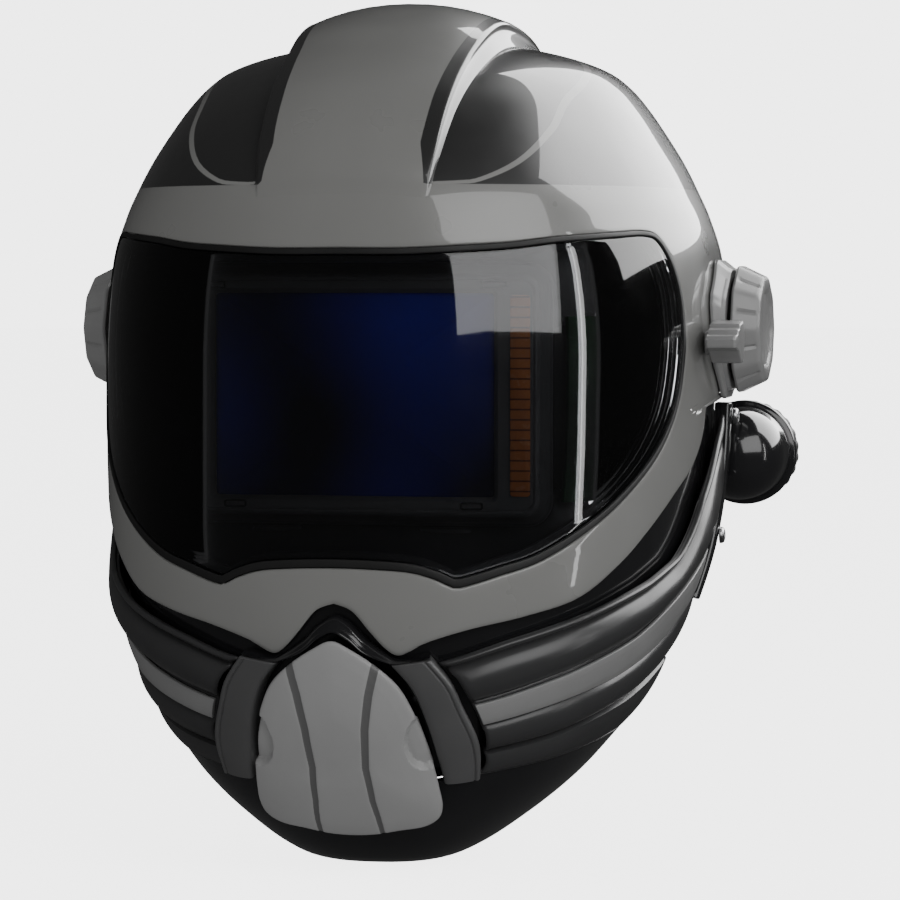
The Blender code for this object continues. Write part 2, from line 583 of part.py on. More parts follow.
def bowl_top(deg):
    """Upper rim of the chin bowl: under the lowest rib in front, lower behind the chin."""
    a = np.abs(deg)
    f = np.clip((a - 97) / 45, 0, 1)
    f = f * f * (3 - 2 * f)
    return (at(RIB3_LOW, np.minimum(a, 97)) - 0.2) * (1 - f) + -172.0 * f


th = np.linspace(-180, 180, 29)[:-1]
l1 = level(bowl_top(th))
l0 = level(-187.6)
k = np.linspace(0, 1, 6)[None, :]
ll = l0 * (1 - k) + l1[:, None] * k
dd = np.broadcast_to(th[:, None], ll.shape)
surface("chin_bowl", surf(ll, dd, 0.0), 2.2, "black", wrap=True, middle_point=(0, -65.0, -188.0))

DUCT_T = 1.6
DN = 9


def duct_profile(n_each=4):
    """Fractions across the four bands of a duct and how far each stands out."""
    out = []
    for i in range(n_each + 1):                      # main rib: a full bulge
        f = i / n_each
        out.append((0, f, -1.2 + 4.6 * math.sin(math.pi * min(1, f * 1.02)) ** 0.7))
    for i in range(3):                               # flat seat of the stripe
        out.append((1, (0.06, 0.5, 0.94)[i], -0.6))
    for i in range(n_each):                          # second rib
        f = i / (n_each - 1)
        out.append((2, f, 0.4 + 1.5 * math.sin(math.pi * f) ** 0.8 - (1.4 if f in (0.0, 1.0) else 0)))
    out.append((3, 0.06, -1.6))                      # groove
    for i in range(1, 6):                            # lowest rib
        f = i / 5
        out.append((3, 0.12 + 0.8 * f, 0.3 + 1.3 * math.sin(math.pi * (0.2 + 0.5 * f))))
    out.append((3, 1.0, -1.0))
    return out


PROFILE = duct_profile()
LINES = (RIB_TOP, STRIPE_TOP, STRIPE_LOW, RIB2_LOW, RIB3_LOW)


def start_deg(z):
    """Where a duct begins, just outside the chin bracket."""
    b = np.asarray(BRACKET_OUT, float)
    return np.interp(-np.asarray(z), -b[:, 1], b[:, 0]) + 0.9


for side, s in (("left", 1), ("right", -1)):
    pts, offs = [], []
    for band, f, o in PROFILE:
        row = []
        z = at(LINES[band], 20.0) * (1 - f) + at(LINES[band + 1], 20.0) * f
        a0 = float(start_deg(z))
        for a in np.linspace(a0, 93.5, DN):
            z0, z1 = float(at(LINES[band], a)), float(at(LINES[band + 1], a))
            z = z0 * (1 - f) + z1 * f
            if band == 0 and f == 0:
                z -= 0.2
            if band == 3 and f == 1.0:
                z += 0.6
            row.append((z, s * a))
        pts.append(row)
        fade = np.clip((93.5 - np.linspace(a0, 93.5, DN)) / 10, 0, 1)
        offs.append(o * (0.55 + 0.45 * fade))
    g = np.asarray(pts, float)
    oo = np.asarray(offs, float)
    surface("jaw_duct_" + side, on(g[..., 0], g[..., 1], oo), DUCT_T, "jaw", smooth=40)
    # light inlay in the stripe's seat
    rows = []
    for f in (0.09, 0.5, 0.91):
        z = at(STRIPE_TOP, 20.0) * (1 - f) + at(STRIPE_LOW, 20.0) * f
        a = np.linspace(float(start_deg(z)) + 0.2, 92.5, DN)
        rows.append(np.stack([at(STRIPE_TOP, a) * (1 - f) + at(STRIPE_LOW, a) * f, s * a], -1))
    g = np.asarray(rows)
    up = np.array([0.9, 1.4, 0.9])[:, None]
    fade = (0.55 + 0.45 * np.clip((93.5 - np.abs(g[..., 1])) / 10, 0, 1))
    slab("jaw_stripe_" + side, on(g[..., 0], g[..., 1], up * fade), on(g[..., 0], g[..., 1], -0.6 * fade + 0.35),
         "stripe", smooth=40)
    # chin bracket leg
    a = resample(np.stack([np.asarray(BRACKET_IN)[:, 0], np.asarray(BRACKET_IN)[:, 1]], -1), 8)
    b = resample(np.stack([np.asarray(BRACKET_OUT)[:, 0], np.asarray(BRACKET_OUT)[:, 1]], -1), 8)
    f = np.linspace(0, 1, 5)[None, :, None]
    g = a[:, None, :] * (1 - f) + b[:, None, :] * f
    up = np.array([3.6, 5.1, 5.2, 4.8, 3.2])[None, :] + 0 * g[..., 0]
    slab("chin_bracket_" + side, on(g[..., 1], s * g[..., 0], up), on(g[..., 1], s * g[..., 0], -3.4 + 0 * up), "bracket",
         smooth=30)

# black hood over the chin cap: from one bracket top round the notch to the other
HOOD_OUT = [(-19, -108.3), (-13, -110.2), (-10.5, -108.6), (-6.5, -103.8), (-3, -98), (0, -95.5), (3, -98), (6.5, -103.8), (10.5, -108.6),
            (13, -110.2), (19, -108.3)]
HOOD_IN = [(-18.5, -109.0), (-13.2, -111.0), (-10.8, -111.2), (-6.0, -108.2), (-3, -104.0), (0, -101.6), (3, -104.0),
           (6.0, -108.2), (10.8, -111.2), (13.2, -111.0), (18.5, -109.0)]
a, b = resample(HOOD_IN, 17), resample(HOOD_OUT, 17)
f = np.linspace(0, 1, 4)[None, :, None]
g = a[:, None, :] * (1 - f) + b[:, None, :] * f
up = np.array([1.5, 3.6, 1.8, -1.6])[None, :] + 0 * g[..., 0]
slab("chin_hood", on(g[..., 1], g[..., 0], up), on(g[..., 1], g[..., 0], -3.6 + 0 * up), "black", smooth=40)

# chin cap: bulged cover with a finger recess at each side
cap_loop = resample(mirror_loop(CAP_HALF), 36, closed=True)
cap_mid = np.array([0.0, -142.0])
rows = np.array([0.35, 0.65, 0.85, 0.96, 1.0])
rise = np.array([7.2, 6.5, 5.8, 5.1, 3.8])
sq = np.array([1.75, 1.0])       # millimetres per degree near the chin, per millimetre of height
g = cap_mid + (cap_loop - cap_mid)[:, None, :] * rows[None, :, None]
up = np.broadcast_to(rise[None, :], g.shape[:2]).copy()
for sx in (-1, 1):
    d = np.hypot((g[..., 0] - sx * 20.8) * sq[0], g[..., 1] + 136.0)
    up -= 2.4 * np.clip((9.0 - d) / 3.0, 0, 1)
surface("chin_cap", on(g[..., 1], g[..., 0], up), 2.0, "cap", wrap=True, middle_point=on(cap_mid[1], 0.0, 7.5))

# exhalation valve behind the cap: seat clipped in the frame's hole, thin flap in front of it
turned("exhale_seat", [(-3.2, 9.4), (9.6, 9.4), (9.6, 15.5), (7.8, 15.5), (7.8, 11.6), (-3.2, 11.6)], "y",
       (0, -123.6, -130), "matte", closed=True)
turned("exhale_flap", [(0, 9.0), (0.5, 9.0)], "y", (0, -127.6, -130), "rubber")

# clear inner visor behind the filter, held by the jaw frame's lip
th = np.linspace(-60, 60, 17)
k = np.linspace(0, 1, 5)[None, :]
zt = 16 + 0 * th
zb = at([(0, -88), (12, -94), (26, -90), (36, -86), (46, -80), (54, -70), (60, -60)], th)
zz = zb[:, None] * (1 - k) + zt[:, None] * k
dd = np.broadcast_to(th[:, None], zz.shape)
inset = -46.0 + 20.0 * (np.abs(dd) / 60) ** 2 * 1.0
surface("inner_visor", on(zz, dd, inset), 1.6, "clear", smooth=40)

# hose inlet on the wearer's left
ix, iy, iz = INLET
turned("inlet_elbow", [(-32, 0.0), (-31.5, 4.0), (-29.6, 8.6), (-26, 13.0), (-21, 15.9), (-15, 17.2), (-4, 17.6), (-2.5, 17.8),
                       (-2.0, 19.4), (0, 19.6), (0, 15.8), (-14, 15.2), (-20, 13.8), (-24.5, 11.0), (-27.6, 7.0),
                       (-29, 3.4), (-29.4, 0.0)], "y", (ix, iy, iz), "black")
turned("hose_collar", [(0.5, 15.4), (0.5, 18.6), (3.0, 19.2), (9.0, 19.2), (11.0, 18.4), (17.0, 17.4), (17.6, 16.6),
                       (17.6, 14.2), (0.5, 13.6)], "y", (ix, iy, iz), "matte", closed=True)

# manifold: closed box duct inside the jaw frame that takes the elbow's air forward
def box_xz(x0, x1, z0, z1, y, r=3.0, n=16):
    return rounded((x1 - x0) / 2, (z1 - z0) / 2, r, y, (z0 + z1) / 2, n, (x0 + x1) / 2)


rings("inlet_manifold", [box_xz(85.4, 92.2, -58.6, -35.4, 43.6, 2.0), box_xz(85.4, 92.2, -58.6, -35.4, -38, 2.0),
                         box_xz(84, 93.6, -60, -34, -38), box_xz(84, 93.6, -60, -34, 45)], "black", smooth=30)
for side, s in (("left", 1), ("right", -1)):
    aa, zz = np.meshgrid(np.linspace(94.4, 100.5, 4), np.linspace(-97, -27, 13), indexing="ij")
    up = np.array([1.2, 2.4, 2.4, 1.2])[:, None] + 0 * zz
    slab("edge_strip_" + side, on(zz, s * aa, up), on(zz, s * aa, -3.7 + 0 * up), "black", smooth=35)
for i, z in enumerate((-32.0, -75.0)):
    y = float(on(z, 98.0)[1])
    x = float(side_x(y, z)) + 3.0
    turned("inlet_screw_%d" % (i + 1), [(0, 3.0), (0.9, 3.0), (1.7, 2.2), (1.9, 0.8)], "x", (x, y, z), "steel", 16)

# soft face seal from the jaw frame in to the cheeks and chin
th = np.linspace(-94, 94, 25)
zo = at([(0, -152), (20, -147), (40, -128), (70, -101), (97, -82)], th)
po = on(zo, th, -8.0)
pi = np.stack([64 * np.sin(np.radians(th)), -14 - 66 * np.cos(np.radians(th)), zo + 16], -1)
k = np.linspace(0, 1, 4)[None, :, None]
g = po[:, None, :] * (1 - k) + pi[:, None, :] * k
g[..., 2] -= 5 * np.sin(np.pi * k[..., 0])
slab("face_seal", g + (0, 0, 1.1), g - (0, 0, 1.1), "pad", smooth=45)

# ---------------------------------------------------------------- headgear
CY, HA, HB = HEAD["cy"], HEAD["a"], HEAD["b"]


def oval(deg, z, grow_by=0.0):
    t = np.radians(deg)
    return np.stack([(HA + grow_by) * np.sin(t), CY - (HB + grow_by) * np.cos(t), z + 0 * t], -1)


def belt(name, a0, a1, n, zfun, half, thick, mat, out=0.0):
    deg = np.linspace(a0, a1, n)
    zc = zfun(np.abs(deg))
    k = np.linspace(-half, half, 3)[None, :]
    return surface(name, np.stack([oval(deg, zc + kk, out + thick / 2) for kk in k[0]], 1), thick, mat, smooth=40)


def drop(a):
    """Height of the band's middle line: level at the brow, falling to the nape."""
    return np.interp(a, [0, 60, 95, 180], [34, 30, 12, -36])


belt("headband_front", -106, 106, 33, drop, 11, 1.8, "band")
belt("sweatband", -58, 58, 19, drop, 13.5, 5.0, "pad", out=-3.9)
belt("rear_band", 95, 265, 29, lambda a: drop(np.where(a > 180, 360 - a, a)), 9, 1.8, "band", out=-2.4)
belt("nape_pad", 140, 220, 17, lambda a: drop(np.where(a > 180, 360 - a, a)), 12, 5.0, "pad", out=-6.4)
for side, s in (("left", 1), ("right", -1)):
    # arm: pad on the band, offset outward to the pivot post
    prof = [(40.0, 81.9, 16.0, 8.0), (28.0, 81.9, 15.0, 8.5), (16.0, 89.0, 9.0, 9.5), (8.0, 92.6, 3.0, 10.0),
            (-6.0, 92.6, 0.0, 10.5), (-10.5, 92.6, 0.0, 6.0)]
    loops = []
    for y, x, zc, half in prof:
        loops.append([(s * (x + dx), y, zc + dz) for dx, dz in
                      ((-1.4, -half), (1.4, -half), (1.4, -half * 0.5), (1.4, half * 0.5), (1.4, half), (-1.4, half),
                       (-1.4, half * 0.5), (-1.4, -half * 0.5))])
    rings("headgear_arm_" + side, loops, "band", smooth=30)
    turned("pivot_post_" + side, [(0, 9.0), (2.6, 9.0), (2.6, PIVOT_R), (30.4, PIVOT_R), (30.9, PIVOT_R - 0.5)]
           if s > 0 else [(0, 9.0), (-2.6, 9.0), (-2.6, PIVOT_R), (-30.4, PIVOT_R), (-30.9, PIVOT_R - 0.5)],
           "x", (s * 94.4, 0, 0), "matte")


def arch(name, y, width, base, top, inset, clear, mat):
    """Strap over the head from band to band: inside them by inset, and clear of a band slid forward by clear."""
    end = math.radians(84)
    t = np.linspace(-end, end, 19)
    up = np.stack([np.sin(t), 0 * t, np.cos(t)], -1)
    grid = []
    for row in np.linspace(-width / 2, width / 2, 3):
        half = (HA - inset) * math.sqrt(1 - ((y + row + clear - CY) / HB) ** 2)
        x = half * np.sin(t) / math.sin(end)
        z = base + (top - base) * (np.cos(t) - math.cos(end)) / (1 - math.cos(end))
        grid.append(np.stack([x, y + row + 0 * t, z], -1) + up * 0.9)
    return surface(name, np.stack(grid, 1), 1.8, mat, smooth=45)


arch("crown_strap_front", 2.0, 20, 18, 84, 2.4, 0.0, "band")
arch("crown_strap_rear", 44.0, 18, 4, 78, 5.8, 10.0, "band")
box("ratchet_housing", (48, 13.0, 30), (0, 113.9, -36), "band", 4.0)


def lobed(r, depth, lobes, y, n=24):
    return [(r_ * math.sin(a), y, -36 + r_ * math.cos(a)) for a, r_ in
            ((2 * math.pi * i / n, r - depth * (0.5 + 0.5 * math.cos(lobes * 2 * math.pi * i / n))) for i in range(n))]


rings("ratchet_knob", [lobed(16.0, 1.2, 8, 120.8), lobed(17.5, 1.6, 8, 122.0), lobed(17.5, 1.6, 8, 130.5),
                       lobed(15.5, 1.2, 8, 133.0), lobed(11.0, 0.0, 8, 133.0), lobed(9.0, 0.0, 8, 132.0)], "knob", smooth=30)


# ---------------------------------------------------------------- origins on the joint axes
def origin(names, point):
    """Move the origins of pieces to a point without moving the pieces."""
    for name in names:
        ob = OBJ.objects[name]
        bpy.context.view_layer.update()
        shift = ob.matrix_world.inverted() @ Vector([c * MM for c in point])
        for v in ob.data.vertices:
            v.co -= shift
        ob.location = [c * MM for c in point]


origin(["latch_lever"], (117, *LEVER_AXIS))
origin(["chin_cap"], (0, -130, -140))
origin(["ratchet_knob"], (0, 121, -36))
for side, s in (("left", 1), ("right", -1)):
    origin(["tension_knob_" + side], (s * KNOB["x0"], 0, 0))
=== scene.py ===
"""Looks of the powered air respirator head-top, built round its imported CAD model.

Driving values are in millimetres and degrees, meshes in metres. The wearer looks along -Y, +X is the
wearer's left, +Z is up, and the origin is the middle of the pivot axis through both side knobs.
"""
import json
import math
import bmesh
import bpy
import numpy as np
from mathutils import Matrix, Vector


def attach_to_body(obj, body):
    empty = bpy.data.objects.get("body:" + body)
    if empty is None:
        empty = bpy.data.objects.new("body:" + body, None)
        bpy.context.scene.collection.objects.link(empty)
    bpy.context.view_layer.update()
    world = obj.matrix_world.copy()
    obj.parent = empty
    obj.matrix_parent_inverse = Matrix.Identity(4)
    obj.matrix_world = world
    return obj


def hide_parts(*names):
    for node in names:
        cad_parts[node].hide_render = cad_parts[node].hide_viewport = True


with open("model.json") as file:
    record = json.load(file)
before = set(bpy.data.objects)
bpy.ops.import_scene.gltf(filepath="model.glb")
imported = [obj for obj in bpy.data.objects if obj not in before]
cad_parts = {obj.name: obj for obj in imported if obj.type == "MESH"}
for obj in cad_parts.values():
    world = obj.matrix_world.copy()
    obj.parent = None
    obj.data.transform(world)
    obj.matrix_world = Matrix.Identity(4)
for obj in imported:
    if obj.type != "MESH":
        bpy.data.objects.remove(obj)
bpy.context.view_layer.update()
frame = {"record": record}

MM = 0.001
SIDES = (("left", 1), ("right", -1))

# ---------------------------------------------------------------- the outer surface, as in the CAD
SECTION_POWER = 2.3          # superellipse power of the level sections
# level sections: z, half width, front y, rear y, y of the widest point
SECTIONS = [(-188, 1, -66, -64, -65), (-186.5, 22, -86, -44, -64), (-181, 36, -97, -34, -61),
    (-170, 52, -108, -20, -55), (-159, 65, -116, -8, -49), (-148, 75, -122, 2, -43),
    (-131, 88, -130, 18, -35), (-113, 97, -135, 36, -28), (-95, 103.5, -137, 52, -22),
    (-76, 108, -137, 66, -15), (-53, 110.5, -136, 82, -9), (-29, 111.5, -135, 92, -6),
    (0, 111.5, -134, 100, -5), (25, 109, -132.5, 104, -4), (40, 104.5, -130, 103, -4),
    (50, 100, -127, 102, -4), (60, 95, -121, 99, -4), (70, 89, -112, 94, -5), (80, 82.5, -98.5, 86, -7),
    (88, 76, -83, 77, -9), (94, 68, -68, 66, -11), (99, 54, -54, 50, -12), (103, 34, -38, 25, -14),
    (105, 16, -25, 2, -15), (105.6, 0.5, -16, -14, -15), ]
SHELL = 2.5
GAP = 0.4
VISOR_HALF = [(0, 29), (12, 29), (23, 30), (31, 31), (40, 33), (52, 34.5), (59, 35), (63, 33), (66, 25),
    (68, 14), (68.6, 2), (68.4, -8), (66.2, -26), (61, -42), (53, -57), (45.5, -68), (37, -77.5), (30, -82),
    (25, -85), (22, -86), (19, -83.5), (14, -80.8), (7, -79.8), (0, -79.5)]
EDGE_HALF = [(0, -91.5), (3.5, -94), (7, -101), (10, -106.5), (12.5, -109), (15, -107.5), (18, -104.5),
    (26, -100), (36, -96), (46, -90.5), (54, -79.5), (60, -69), (67, -57), (73, -48), (77, -38), (79, -26),
    (83, -24), (92, -24), (101, -20), (106, -8), (108, 12), (110, 34), (114, 56), (122, 74), (134, 88),
    (150, 95), (166, 97.5), (180, 98)]
PINSTRIPE = [(18.5, 50.9), (23, 51.2), (27, 52.2), (35, 58.5), (44, 70), (53, 83), (75, 95), (100, 97),
    (124, 95)]
PAINT_Z = 50.5               # lower edge of the dark crown paint
RIB_TOP = [(20, -111), (34, -103.5), (49, -95.5), (63, -86.5), (72, -79), (76, -71), (80, -59), (88, -40),
    (97, -27)]
STRIPE_TOP = [(20, -129), (29, -125.5), (48, -116), (64, -105.5), (77, -93), (88, -83), (97, -74)]
STRIPE_LOW = [(20, -137), (32, -134), (48, -127.5), (63, -120.5), (74, -113), (86, -101.5), (97, -91)]
RIB2_LOW = [(20, -147), (36, -143), (53, -138), (67, -131), (78, -125), (97, -113)]
RIB3_LOW = [(0, -156), (20, -154.5), (39, -151), (55, -148), (68, -145), (86, -141.5), (97, -139)]
BRACKET_OUT = [(19, -109.5), (23.5, -118), (27, -127.5), (32, -139), (35.3, -150.8)]
BRACKET_IN = [(11.5, -111.5), (15.5, -119), (18.5, -128), (22.5, -141), (26.5, -152.5)]
CAP_HALF = [(0, -103.5), (4, -106.5), (9, -112), (13, -118), (16, -125.5), (20, -137.5), (25, -152.5),
    (28, -160), (28.5, -164.5), (25, -167.5), (17, -169), (9, -170.5), (0, -171)]
LIP = [(0, -88), (6, -91), (12, -99), (18, -97), (26, -92), (36, -88), (46, -82), (54, -72), (60, -61),
    (67, -49), (71, -38), (75, -24), (79, -4), (83, 12), (89, 20), (97, 20)]
PIVOT_R = 5.0
PIVOT_HOLE_R = 9.0
KNOB = dict(x0=117.2, x1=127.2, r0=23.3, r1=18.6, facets=10)
BOSS_X = 115.6
ADF_Y = -110.0
ADF_Z = -21.5
LCD = (49.5, 35.0)
INLET = (111.5, 50.0, -47.0)
HEAD = dict(cy=20.0, a=79.0, b=88.0)


def spline(table, k):
    """Catmull-Rom through the rows of a table at the real-valued row numbers k."""
    t = np.asarray(table, float)
    n = len(t)
    i = np.clip(np.floor(k).astype(int), 0, n - 2)
    f = (np.asarray(k, float) - i)[..., None]
    a, b, c, d = t[np.clip(i - 1, 0, n - 1)], t[i], t[i + 1], t[np.clip(i + 2, 0, n - 1)]
    return 0.5 * (2 * b + (c - a) * f + (2 * a - 5 * b + 4 * c - d) * f**2 + (3 * b - a - 3 * c + d) * f**3)


ROWS = spline(SECTIONS, np.linspace(0, len(SECTIONS) - 1, 3001))
LENGTH = np.concatenate([[0], np.cumsum(np.hypot(np.diff(ROWS[:, 0]), np.diff(ROWS[:, 2])))])
TOTAL = LENGTH[-1]


def level(z):
    """Front profile length at a height."""
    return np.interp(z, ROWS[:, 0], LENGTH)


def raw(length, deg):
    row = [np.interp(length, LENGTH, ROWS[:, j]) for j in range(5)]
    th = np.radians(deg)
    s, c = np.sin(th), np.cos(th)
    r = (np.abs(s) ** SECTION_POWER + np.abs(c) ** SECTION_POWER) ** (-1 / SECTION_POWER)
    a = np.where(c > 0, row[4] - row[2], row[3] - row[4])
    return np.stack([row[1] * r * s, row[4] - a * r * c, row[0] + 0 * th], -1)


def surf(length, deg, off=0.0):
    """Point of the outer surface at a profile length and an angle from the front, moved out by off."""
    length, deg, off = np.broadcast_arrays(*(np.asarray(q, float) for q in (length, deg, off)))
    p, e = raw(length, deg), 0.6
    du = raw(np.clip(length + e, 0, TOTAL), deg) - raw(np.clip(length - e, 0, TOTAL), deg)
    dv = raw(length, deg + e) - raw(length, deg - e)
    n = np.cross(dv, du)
    n = n / np.maximum(np.linalg.norm(n, axis=-1), 1e-9)[..., None]
    return p + n * off[..., None]


def on(z, deg, off=0.0):
    return surf(level(np.asarray(z, float)), deg, off)


CORE = np.array([0.0, -10.0, -5.0])      # inside point that the front chart looks out from


def inside(p):
    row = [np.interp(p[..., 2], ROWS[:, 0], ROWS[:, j]) for j in range(5)]
    a = np.where(p[..., 1] < row[4], row[4] - row[2], row[3] - row[4])
    g = (np.abs(p[..., 0]) / row[1]) ** SECTION_POWER + (np.abs(p[..., 1] - row[4]) / a) ** SECTION_POWER
    return (g < 1) & (p[..., 2] < ROWS[-1, 0]) & (p[..., 2] > ROWS[0, 0])


def cast(u, v):
    """Point of the outer surface seen from the core: u to +X and v up, 100 to the radian from -Y."""
    rho = np.maximum(np.hypot(u, v), 1e-9)
    k = np.sin(rho / 100) / rho
    d = np.stack([u * k, -np.cos(rho / 100), v * k], -1)
    lo, hi = np.zeros(rho.shape), np.full(rho.shape, 260.0)
    for _ in range(34):
        m = 0.5 * (lo + hi)
        ok = inside(CORE + d * m[..., None])
        lo, hi = np.where(ok, m, lo), np.where(ok, hi, m)
    return CORE + d * lo[..., None]


def chart(u, v, off=0.0):
    """Point of the outer surface from its place in the front chart, moved out by off."""
    u, v, off = np.broadcast_arrays(*(np.asarray(q, float) for q in (u, v, off)))
    p, e = cast(u, v), 0.8
    n = np.cross(cast(u + e, v) - cast(u - e, v), cast(u, v + e) - cast(u, v - e))
    n = n / np.maximum(np.linalg.norm(n, axis=-1), 1e-9)[..., None]
    return p + n * off[..., None]


def seen(points):
    """Place in the front chart of points in space."""
    d = np.asarray(points, float) - CORE
    d = d / np.linalg.norm(d, axis=-1)[..., None]
    r = np.arccos(np.clip(-d[..., 1], -1, 1))
    k = 100 * r / np.maximum(np.sin(r), 1e-9)
    return np.stack([d[..., 0] * k, d[..., 2] * k], -1)


def side_x(y, z):
    """Half width of the outer surface at a given y and z."""
    row = [np.interp(z, ROWS[:, 0], ROWS[:, j]) for j in range(5)]
    a = np.where(y < row[4], row[4] - row[2], row[3] - row[4])
    return row[1] * (1 - np.minimum(np.abs(y - row[4]) / a, 0.999) ** SECTION_POWER) ** (1 / SECTION_POWER)


def resample(points, n, closed=False):
    """n points evenly spaced along a smooth curve through the given ones."""
    p = np.asarray(points, float)
    if closed:
        p = np.vstack([p[-2:], p, p[:3]])
        dense = spline(p, np.linspace(2, len(p) - 3, 6000))
    else:
        dense = spline(p, np.linspace(0, len(p) - 1, 6000))
    d = np.concatenate([[0], np.cumsum(np.linalg.norm(np.diff(dense, axis=0), axis=1))])
    s = np.linspace(0, d[-1], n + 1)[:-1] if closed else np.linspace(0, d[-1], n)
    return np.stack([np.interp(s, d, dense[:, j]) for j in range(dense.shape[1])], -1)


def at(table, deg):
    """Height of a line given as angle to height, at angles of either sign."""
    t = np.asarray(table, float)
    return spline(t, np.interp(np.abs(deg), t[:, 0], np.arange(len(t))))[..., 1]


def mirror_loop(half):
    """Whole outline from its half: down the +X side and back up the other."""
    h = [tuple(p) for p in half]
    return h + [(-a, z) for a, z in reversed(h[1:-1])]


def to_chart(loop):
    loop = np.asarray(loop, float)
    return seen(raw(level(loop[:, 1]), loop[:, 0]))


def grow(loop, d):
    """Move a closed planar outline outward by d along its own normals."""
    p = np.asarray(loop, float)
    t = np.roll(p, -1, 0) - np.roll(p, 1, 0)
    t /= np.linalg.norm(t, axis=1)[:, None]
    n = np.stack([t[:, 1], -t[:, 0]], -1)
    area = 0.5 * np.sum(p[:, 0] * np.roll(p[:, 1], -1) - np.roll(p[:, 0], -1) * p[:, 1])
    return p + n * d * (1 if area > 0 else -1)


def ray_match(inner, outer, centre):
    """Points of the outer outline in the same directions from the centre as the inner points."""
    o = np.asarray(outer, float) - centre
    ang = np.arctan2(o[:, 1], o[:, 0])
    order = np.argsort(ang)
    ang, o = ang[order], o[order]
    rad = np.hypot(o[:, 0], o[:, 1])
    i = np.asarray(inner, float) - centre
    a = np.arctan2(i[:, 1], i[:, 0])
    r = np.interp(a, np.r_[ang[-1] - 2 * math.pi, ang, ang[0] + 2 * math.pi], np.r_[rad[-1], rad, rad[0]])
    return centre + np.stack([r * np.cos(a), r * np.sin(a)], -1)


# ---------------------------------------------------------------- materials
def nodes_of(name):
    m = bpy.data.materials.new(name)
    m.use_nodes = True
    nt = m.node_tree
    return m, nt, nt.nodes["Principled BSDF"]


def link(nt, a, b):
    nt.links.new(a, b)


def noise(nt, scale, detail=3.0, rough=0.5):
    t = nt.nodes.new("ShaderNodeTexNoise")
    t.inputs["Scale"].default_value = scale
    t.inputs["Detail"].default_value = detail
    t.inputs["Roughness"].default_value = rough
    link(nt, place(nt), t.inputs["Vector"])
    return t.outputs["Fac"]


def place(nt):
    """Object coordinates: one shared node for each tree."""
    n = nt.nodes.get("place")
    if n is None:
        n = nt.nodes.new("ShaderNodeTexCoord")
        n.name = "place"
    return n.outputs["Object"]


def ranged(nt, source, low, high, to_low, to_high):
    r = nt.nodes.new("ShaderNodeMapRange")
    for i, v in enumerate((low, high, to_low, to_high)):
        r.inputs[i + 1].default_value = v
    link(nt, source, r.inputs[0])
    return r.outputs[0]


def mixed(nt, factor, a, b):
    """Mix of two colours, each a tuple or a socket."""
    m = nt.nodes.new("ShaderNodeMix")
    m.data_type = "RGBA"
    link(nt, factor, m.inputs[0])
    for sock, v in ((m.inputs[6], a), (m.inputs[7], b)):
        if isinstance(v, tuple):
            sock.default_value = (*v, 1)
        else:
            link(nt, v, sock)
    return m.outputs[2]


def scaled(rgb, k):
    return tuple(min(1.0, c * k) for c in rgb)


def grainy(nt, b, colour, rough, tint=0.07, patch=28.0, grain=900.0, bump=0.05, spread=0.06, depth=0.0002):
    """Moulded plastic: faint tone patches, uneven gloss and a fine surface grain."""
    cloud = noise(nt, patch, 4.0, 0.6)
    c = mixed(nt, ranged(nt, cloud, 0.3, 0.7, 0, 1), scaled(colour, 1 - tint), scaled(colour, 1 + tint))
    link(nt, c, b.inputs["Base Color"])
    link(nt, ranged(nt, noise(nt, patch * 2.3, 3.0), 0.3, 0.7, max(0.02, rough - spread), rough + spread),
        b.inputs["Roughness"])
    if bump:
        k = nt.nodes.new("ShaderNodeBump")
        k.inputs["Strength"].default_value = bump
        k.inputs["Distance"].default_value = depth
        link(nt, noise(nt, grain, 2.0), k.inputs["Height"])
        link(nt, k.outputs["Normal"], b.inputs["Normal"])
    return c


def plastic(name, colour, rough, coat=0.0, coat_rough=0.04, **kw):
    m, nt, b = nodes_of(name)
    grainy(nt, b, colour, rough, **kw)
    b.inputs["Coat Weight"].default_value = coat
    b.inputs["Coat Roughness"].default_value = coat_rough
    return m


def attribute(nt, name):
    a = nt.nodes.new("ShaderNodeAttribute")
    a.attribute_name = name
    return a.outputs["Fac"]


def both(nt, a, b, how="MULTIPLY"):
    m = nt.nodes.new("ShaderNodeMath")
    m.operation = how
    link(nt, a, m.inputs[0])
    link(nt, b, m.inputs[1])
    return m.outputs[0]


SHELL_GRAY = (0.21, 0.21, 0.203)
SHELL_DARK = (0.024, 0.024, 0.024)


def painted_shell(name):
    """Gray gloss paint with the dark crown paint and the pinstripe, whose edges are mesh attributes in mm."""
    m, nt, b = nodes_of(name)
    gray = grainy(nt, b, SHELL_GRAY, 0.32, tint=0.025, patch=16, grain=2400, bump=0.02)
    dark = ranged(nt, attribute(nt, "dark"), -0.12, 0.12, 0, 1)
    away = nt.nodes.new("ShaderNodeMath")
    away.operation = "ABSOLUTE"
    link(nt, attribute(nt, "line_off"), away.inputs[0])
    stripe = ranged(nt, both(nt, attribute(nt, "line_half"), away.outputs[0], "SUBTRACT"), -0.12, 0.12, 0,
        1)
    c = mixed(nt, dark, gray, SHELL_DARK)
    link(nt, mixed(nt, stripe, c, scaled(SHELL_GRAY, 1.08)), b.inputs["Base Color"])
    b.inputs["Coat Weight"].default_value = 1.0
    b.inputs["Coat Roughness"].default_value = 0.02
    return m


